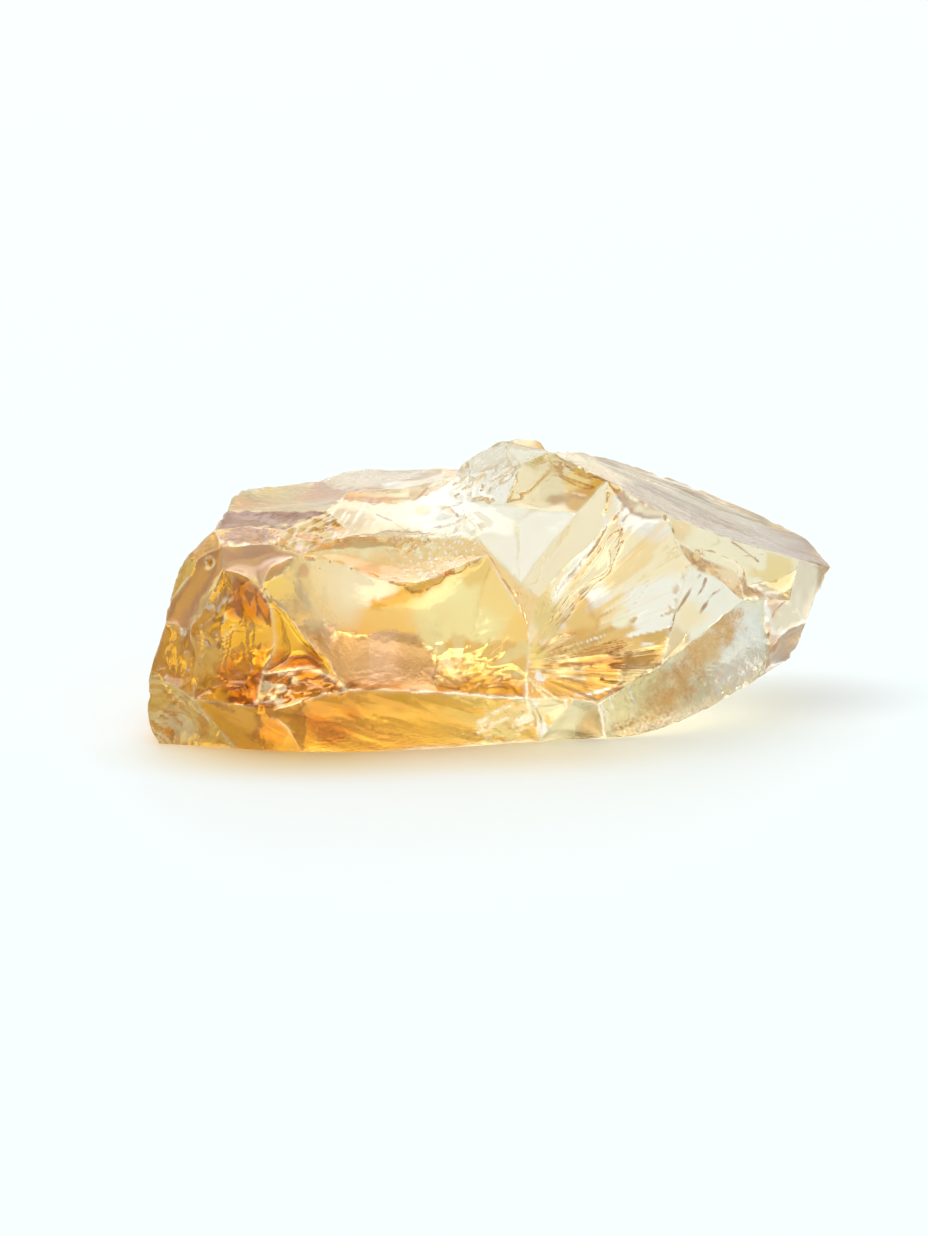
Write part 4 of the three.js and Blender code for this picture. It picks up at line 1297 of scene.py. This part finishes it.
# Refraction, and colour and density of absorption.
REFRACTION = 1.545
ABSORBED = (1, 0.85, 0.45, 1)
ABSORPTION = 28
# Speckles: size in mm, and the levels of noise between which they set in. Dust is rusty. The mottle
# is golden, with a strength. Pits are the finest roughness, with a depth in mm where the frost is 1.
SPECKLE_DETAIL = 4
DUST_GRAIN = (0.16, 0.4, 0.62)
MOTTLE_GRAIN = (0.8, 0.55, 0.75)
MOTTLE = 0.12
PIT_GRAIN = (0.35, 0.2, 0.8)
PIT_DEPTH = 0.25
# Levels of noise between which fine streaks set in, and gold in them for each mm of their depth.
STREAK_LEVELS = (0.56, 0.7)
STREAK_TINT = 14
# Share of light that a hair crack stops.
CRACK_STOP = 0.5


def citrine_material():
    material = bpy.data.materials.new("citrine")
    material.use_nodes = True
    tree = material.node_tree
    tree.nodes.clear()
    place = node(tree, "TexCoord", {}).outputs["Object"]

    def read(name, output="Fac"):
        """One of the mesh's attributes."""
        return node(tree, "Attribute", {}, attribute_name=name).outputs[output]

    def times(first, second):
        return calculate(tree, "MULTIPLY", first, second)

    def rest(value):
        return calculate(tree, "SUBTRACT", 1, value)

    def span(value, low, high):
        """A value stretched to 0 to 1 between two levels."""
        levels = {"Value": value, "From Min": low, "From Max": high}
        return node(tree, "MapRange", levels).outputs["Result"]

    def speckle(size, low, high):
        """Noise of this size in mm, stretched to 0 to 1 between two levels."""
        inputs = {"Vector": place, "Scale": 1 / (size * MM), "Detail": SPECKLE_DETAIL}
        return span(node(tree, "TexNoise", inputs).outputs["Fac"], low, high)

    # Fine streaks, read off the grain: its first two numbers are a place, its third a depth.
    parts = node(tree, "SeparateXYZ", {0: read("grain", "Vector")}).outputs
    flat = node(tree, "CombineXYZ", {"X": parts["X"], "Y": parts["Y"]}).outputs[0]
    streak = node(tree, "TexNoise", {"Vector": flat, "Scale": 1, "Detail": 1}).outputs["Fac"]

    # Fine rusty dust, a faint mottle all over, gold in the streaks and brown in the cracks.
    tint, frost = read("tint", "Color"), read("frost")
    dust = times(read("dust"), speckle(*DUST_GRAIN))
    mottle = times(speckle(*MOTTLE_GRAIN), MOTTLE)
    lines = times(span(streak, *STREAK_LEVELS), times(parts["Z"], STREAK_TINT))
    crack = rest(span(read("crack"), *CRACK_WIDTH))
    colour = tint
    for share, layer in ((dust, RUST), (mottle, GOLD), (lines, GOLD), (crack, BROWN)):
        colour = blend(tree, share, colour, (*layer, 1))

    pits = times(speckle(*PIT_GRAIN), times(frost, PIT_DEPTH))
    height = calculate(tree, "ADD", pits, times(streak, parts["Z"]))
    shader = node(tree, "BsdfPrincipled", {
        "Base Color": colour,
        "Transmission Weight": times(rest(read("veil")), rest(times(crack, CRACK_STOP))),
        "Roughness": frost,
        "IOR": REFRACTION,
        "Normal": node(tree, "Bump", {"Distance": MM, "Height": height}).outputs["Normal"],
    })

    # Light that falls on the floor under the stone comes through it.
    glow = node(tree, "BsdfTransparent", {"Color": blend(tree, GLOW_TINT, GLOW, tint)})
    shadow = node(tree, "LightPath", {}).outputs["Is Shadow Ray"]
    mix = node(tree, "MixShader", {0: shadow, 1: shader.outputs[0], 2: glow.outputs[0]})
    volume = node(tree, "VolumeAbsorption", {"Color": ABSORBED, "Density": ABSORPTION})
    node(tree, "OutputMaterial", {"Surface": mix.outputs[0], "Volume": volume.outputs[0]})
    return material


# The floor's colour and half side in metres, how far it lies under the stone in mm, and where the
# stone's light and shade fall on it: colour, centre, radii and strength.
FLOOR_COLOUR = (0.82, 0.89, 0.9, 1)
FLOOR_REACH = 3
FLOOR_DROP = 0.02
FLOOR_PATCHES = [
    ((0.72, 0.62, 0.32, 1), (-9.5, -9), (12.5, 6.5), 1),
    ((0.78, 0.73, 0.55, 1), (1, -9), (10, 5), 0.8),
    ((0.66, 0.7, 0.71, 1), (17, 1.5), (9, 6), 0.9),
]


def floor():
    mesh = bpy.data.meshes.new("floor")
    ends = ((-1, -1), (1, -1), (1, 1), (-1, 1))
    places = [(x * FLOOR_REACH, y * FLOOR_REACH, -FLOOR_DROP * MM) for x, y in ends]
    mesh.from_pydata(places, [], [range(4)])
    material = bpy.data.materials.new("floor")
    material.use_nodes = True
    tree = material.node_tree
    shader = tree.nodes["Principled BSDF"]
    shader.inputs["Roughness"].default_value = 0.6
    shader.inputs["Specular IOR Level"].default_value = 0.2
    place = node(tree, "TexCoord", {}).outputs["Object"]
    shade = FLOOR_COLOUR
    for colour, centre, radii, strength in FLOOR_PATCHES:
        centre, radii = np.array((*centre, 0)) * MM, np.array((*radii, 1)) * MM
        offset = node(tree, "VectorMath", {0: place, 1: centre}, operation="SUBTRACT").outputs[0]
        scaled = node(tree, "VectorMath", {0: offset, 1: radii}, operation="DIVIDE").outputs[0]
        length = node(tree, "VectorMath", {0: scaled}, operation="LENGTH").outputs["Value"]
        shade = blend(tree, fade(tree, length, 0, 1, strength, 0), shade, colour)
    tree.links.new(shade, shader.inputs["Base Color"])
    mesh.materials.append(material)
    plane = bpy.data.objects.new("floor", mesh)
    bpy.context.collection.objects.link(plane)


# The camera: its angle over the floor, its distance, and the point it looks at.
CAMERA_RISE = math.radians(15)
CAMERA_DISTANCE = 218.3
CAMERA_TARGET = (-1.32, 0, 4.94)


def camera():
    data = bpy.data.cameras.new("camera")
    data.lens = 120
    data.sensor_width = 36
    data.clip_start = 0.01
    data.clip_end = 20
    eye = bpy.data.objects.new("camera", data)
    back = np.array([0, -math.cos(CAMERA_RISE), math.sin(CAMERA_RISE)])
    eye.location = (np.array(CAMERA_TARGET) + CAMERA_DISTANCE * back - CENTRE) * MM
    eye.rotation_euler = (math.radians(90) - CAMERA_RISE, 0, 0)
    bpy.context.collection.objects.link(eye)
    bpy.context.scene.camera = eye


# The studio sky: an even dim light, and soft lights in it. Each has the direction it comes from, its
# half width and soft edge in degrees, and its strength.
SKY_STRENGTH = 0.48
SOFT_LIGHTS = {
    "back wall": ((0, 1, 0.28), 38, 14, 0.9),
    "overhead": ((-0.12, 0.45, 0.9), 22, 8, 2.7),
}


def lighting():
    world = bpy.data.worlds.new("studio")
    bpy.context.scene.world = world
    world.use_nodes = True
    tree = world.node_tree
    sky = tree.nodes["Background"]
    sky.inputs["Color"].default_value = (1, 1, 1, 1)
    place = node(tree, "TexCoord", {}).outputs["Generated"]
    total = SKY_STRENGTH
    for direction, spread, edge, strength in SOFT_LIGHTS.values():
        way = unit(np.array(direction))
        facing = node(tree, "VectorMath", {0: place, 1: way}, operation="DOT_PRODUCT").outputs["Value"]
        low, high = math.cos(math.radians(spread + edge)), math.cos(math.radians(spread))
        total = calculate(tree, "ADD", total, fade(tree, facing, low, high, 0, strength))
    tree.links.new(total, sky.inputs["Strength"])
    bpy.context.scene.view_settings.view_transform = "Standard"


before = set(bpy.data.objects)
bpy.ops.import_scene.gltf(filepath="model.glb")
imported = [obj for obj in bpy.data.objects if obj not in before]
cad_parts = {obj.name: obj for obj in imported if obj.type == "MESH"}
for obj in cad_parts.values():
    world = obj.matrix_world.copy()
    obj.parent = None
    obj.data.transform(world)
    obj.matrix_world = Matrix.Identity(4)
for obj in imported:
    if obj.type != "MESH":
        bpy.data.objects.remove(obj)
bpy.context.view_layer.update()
camera()
stone = bpy.data.objects.new("rough_citrine", stone_mesh())
bpy.context.collection.objects.link(stone)
stone.data.materials.append(citrine_material())
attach(stone, "root")
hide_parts("citrine")
floor()
lighting()
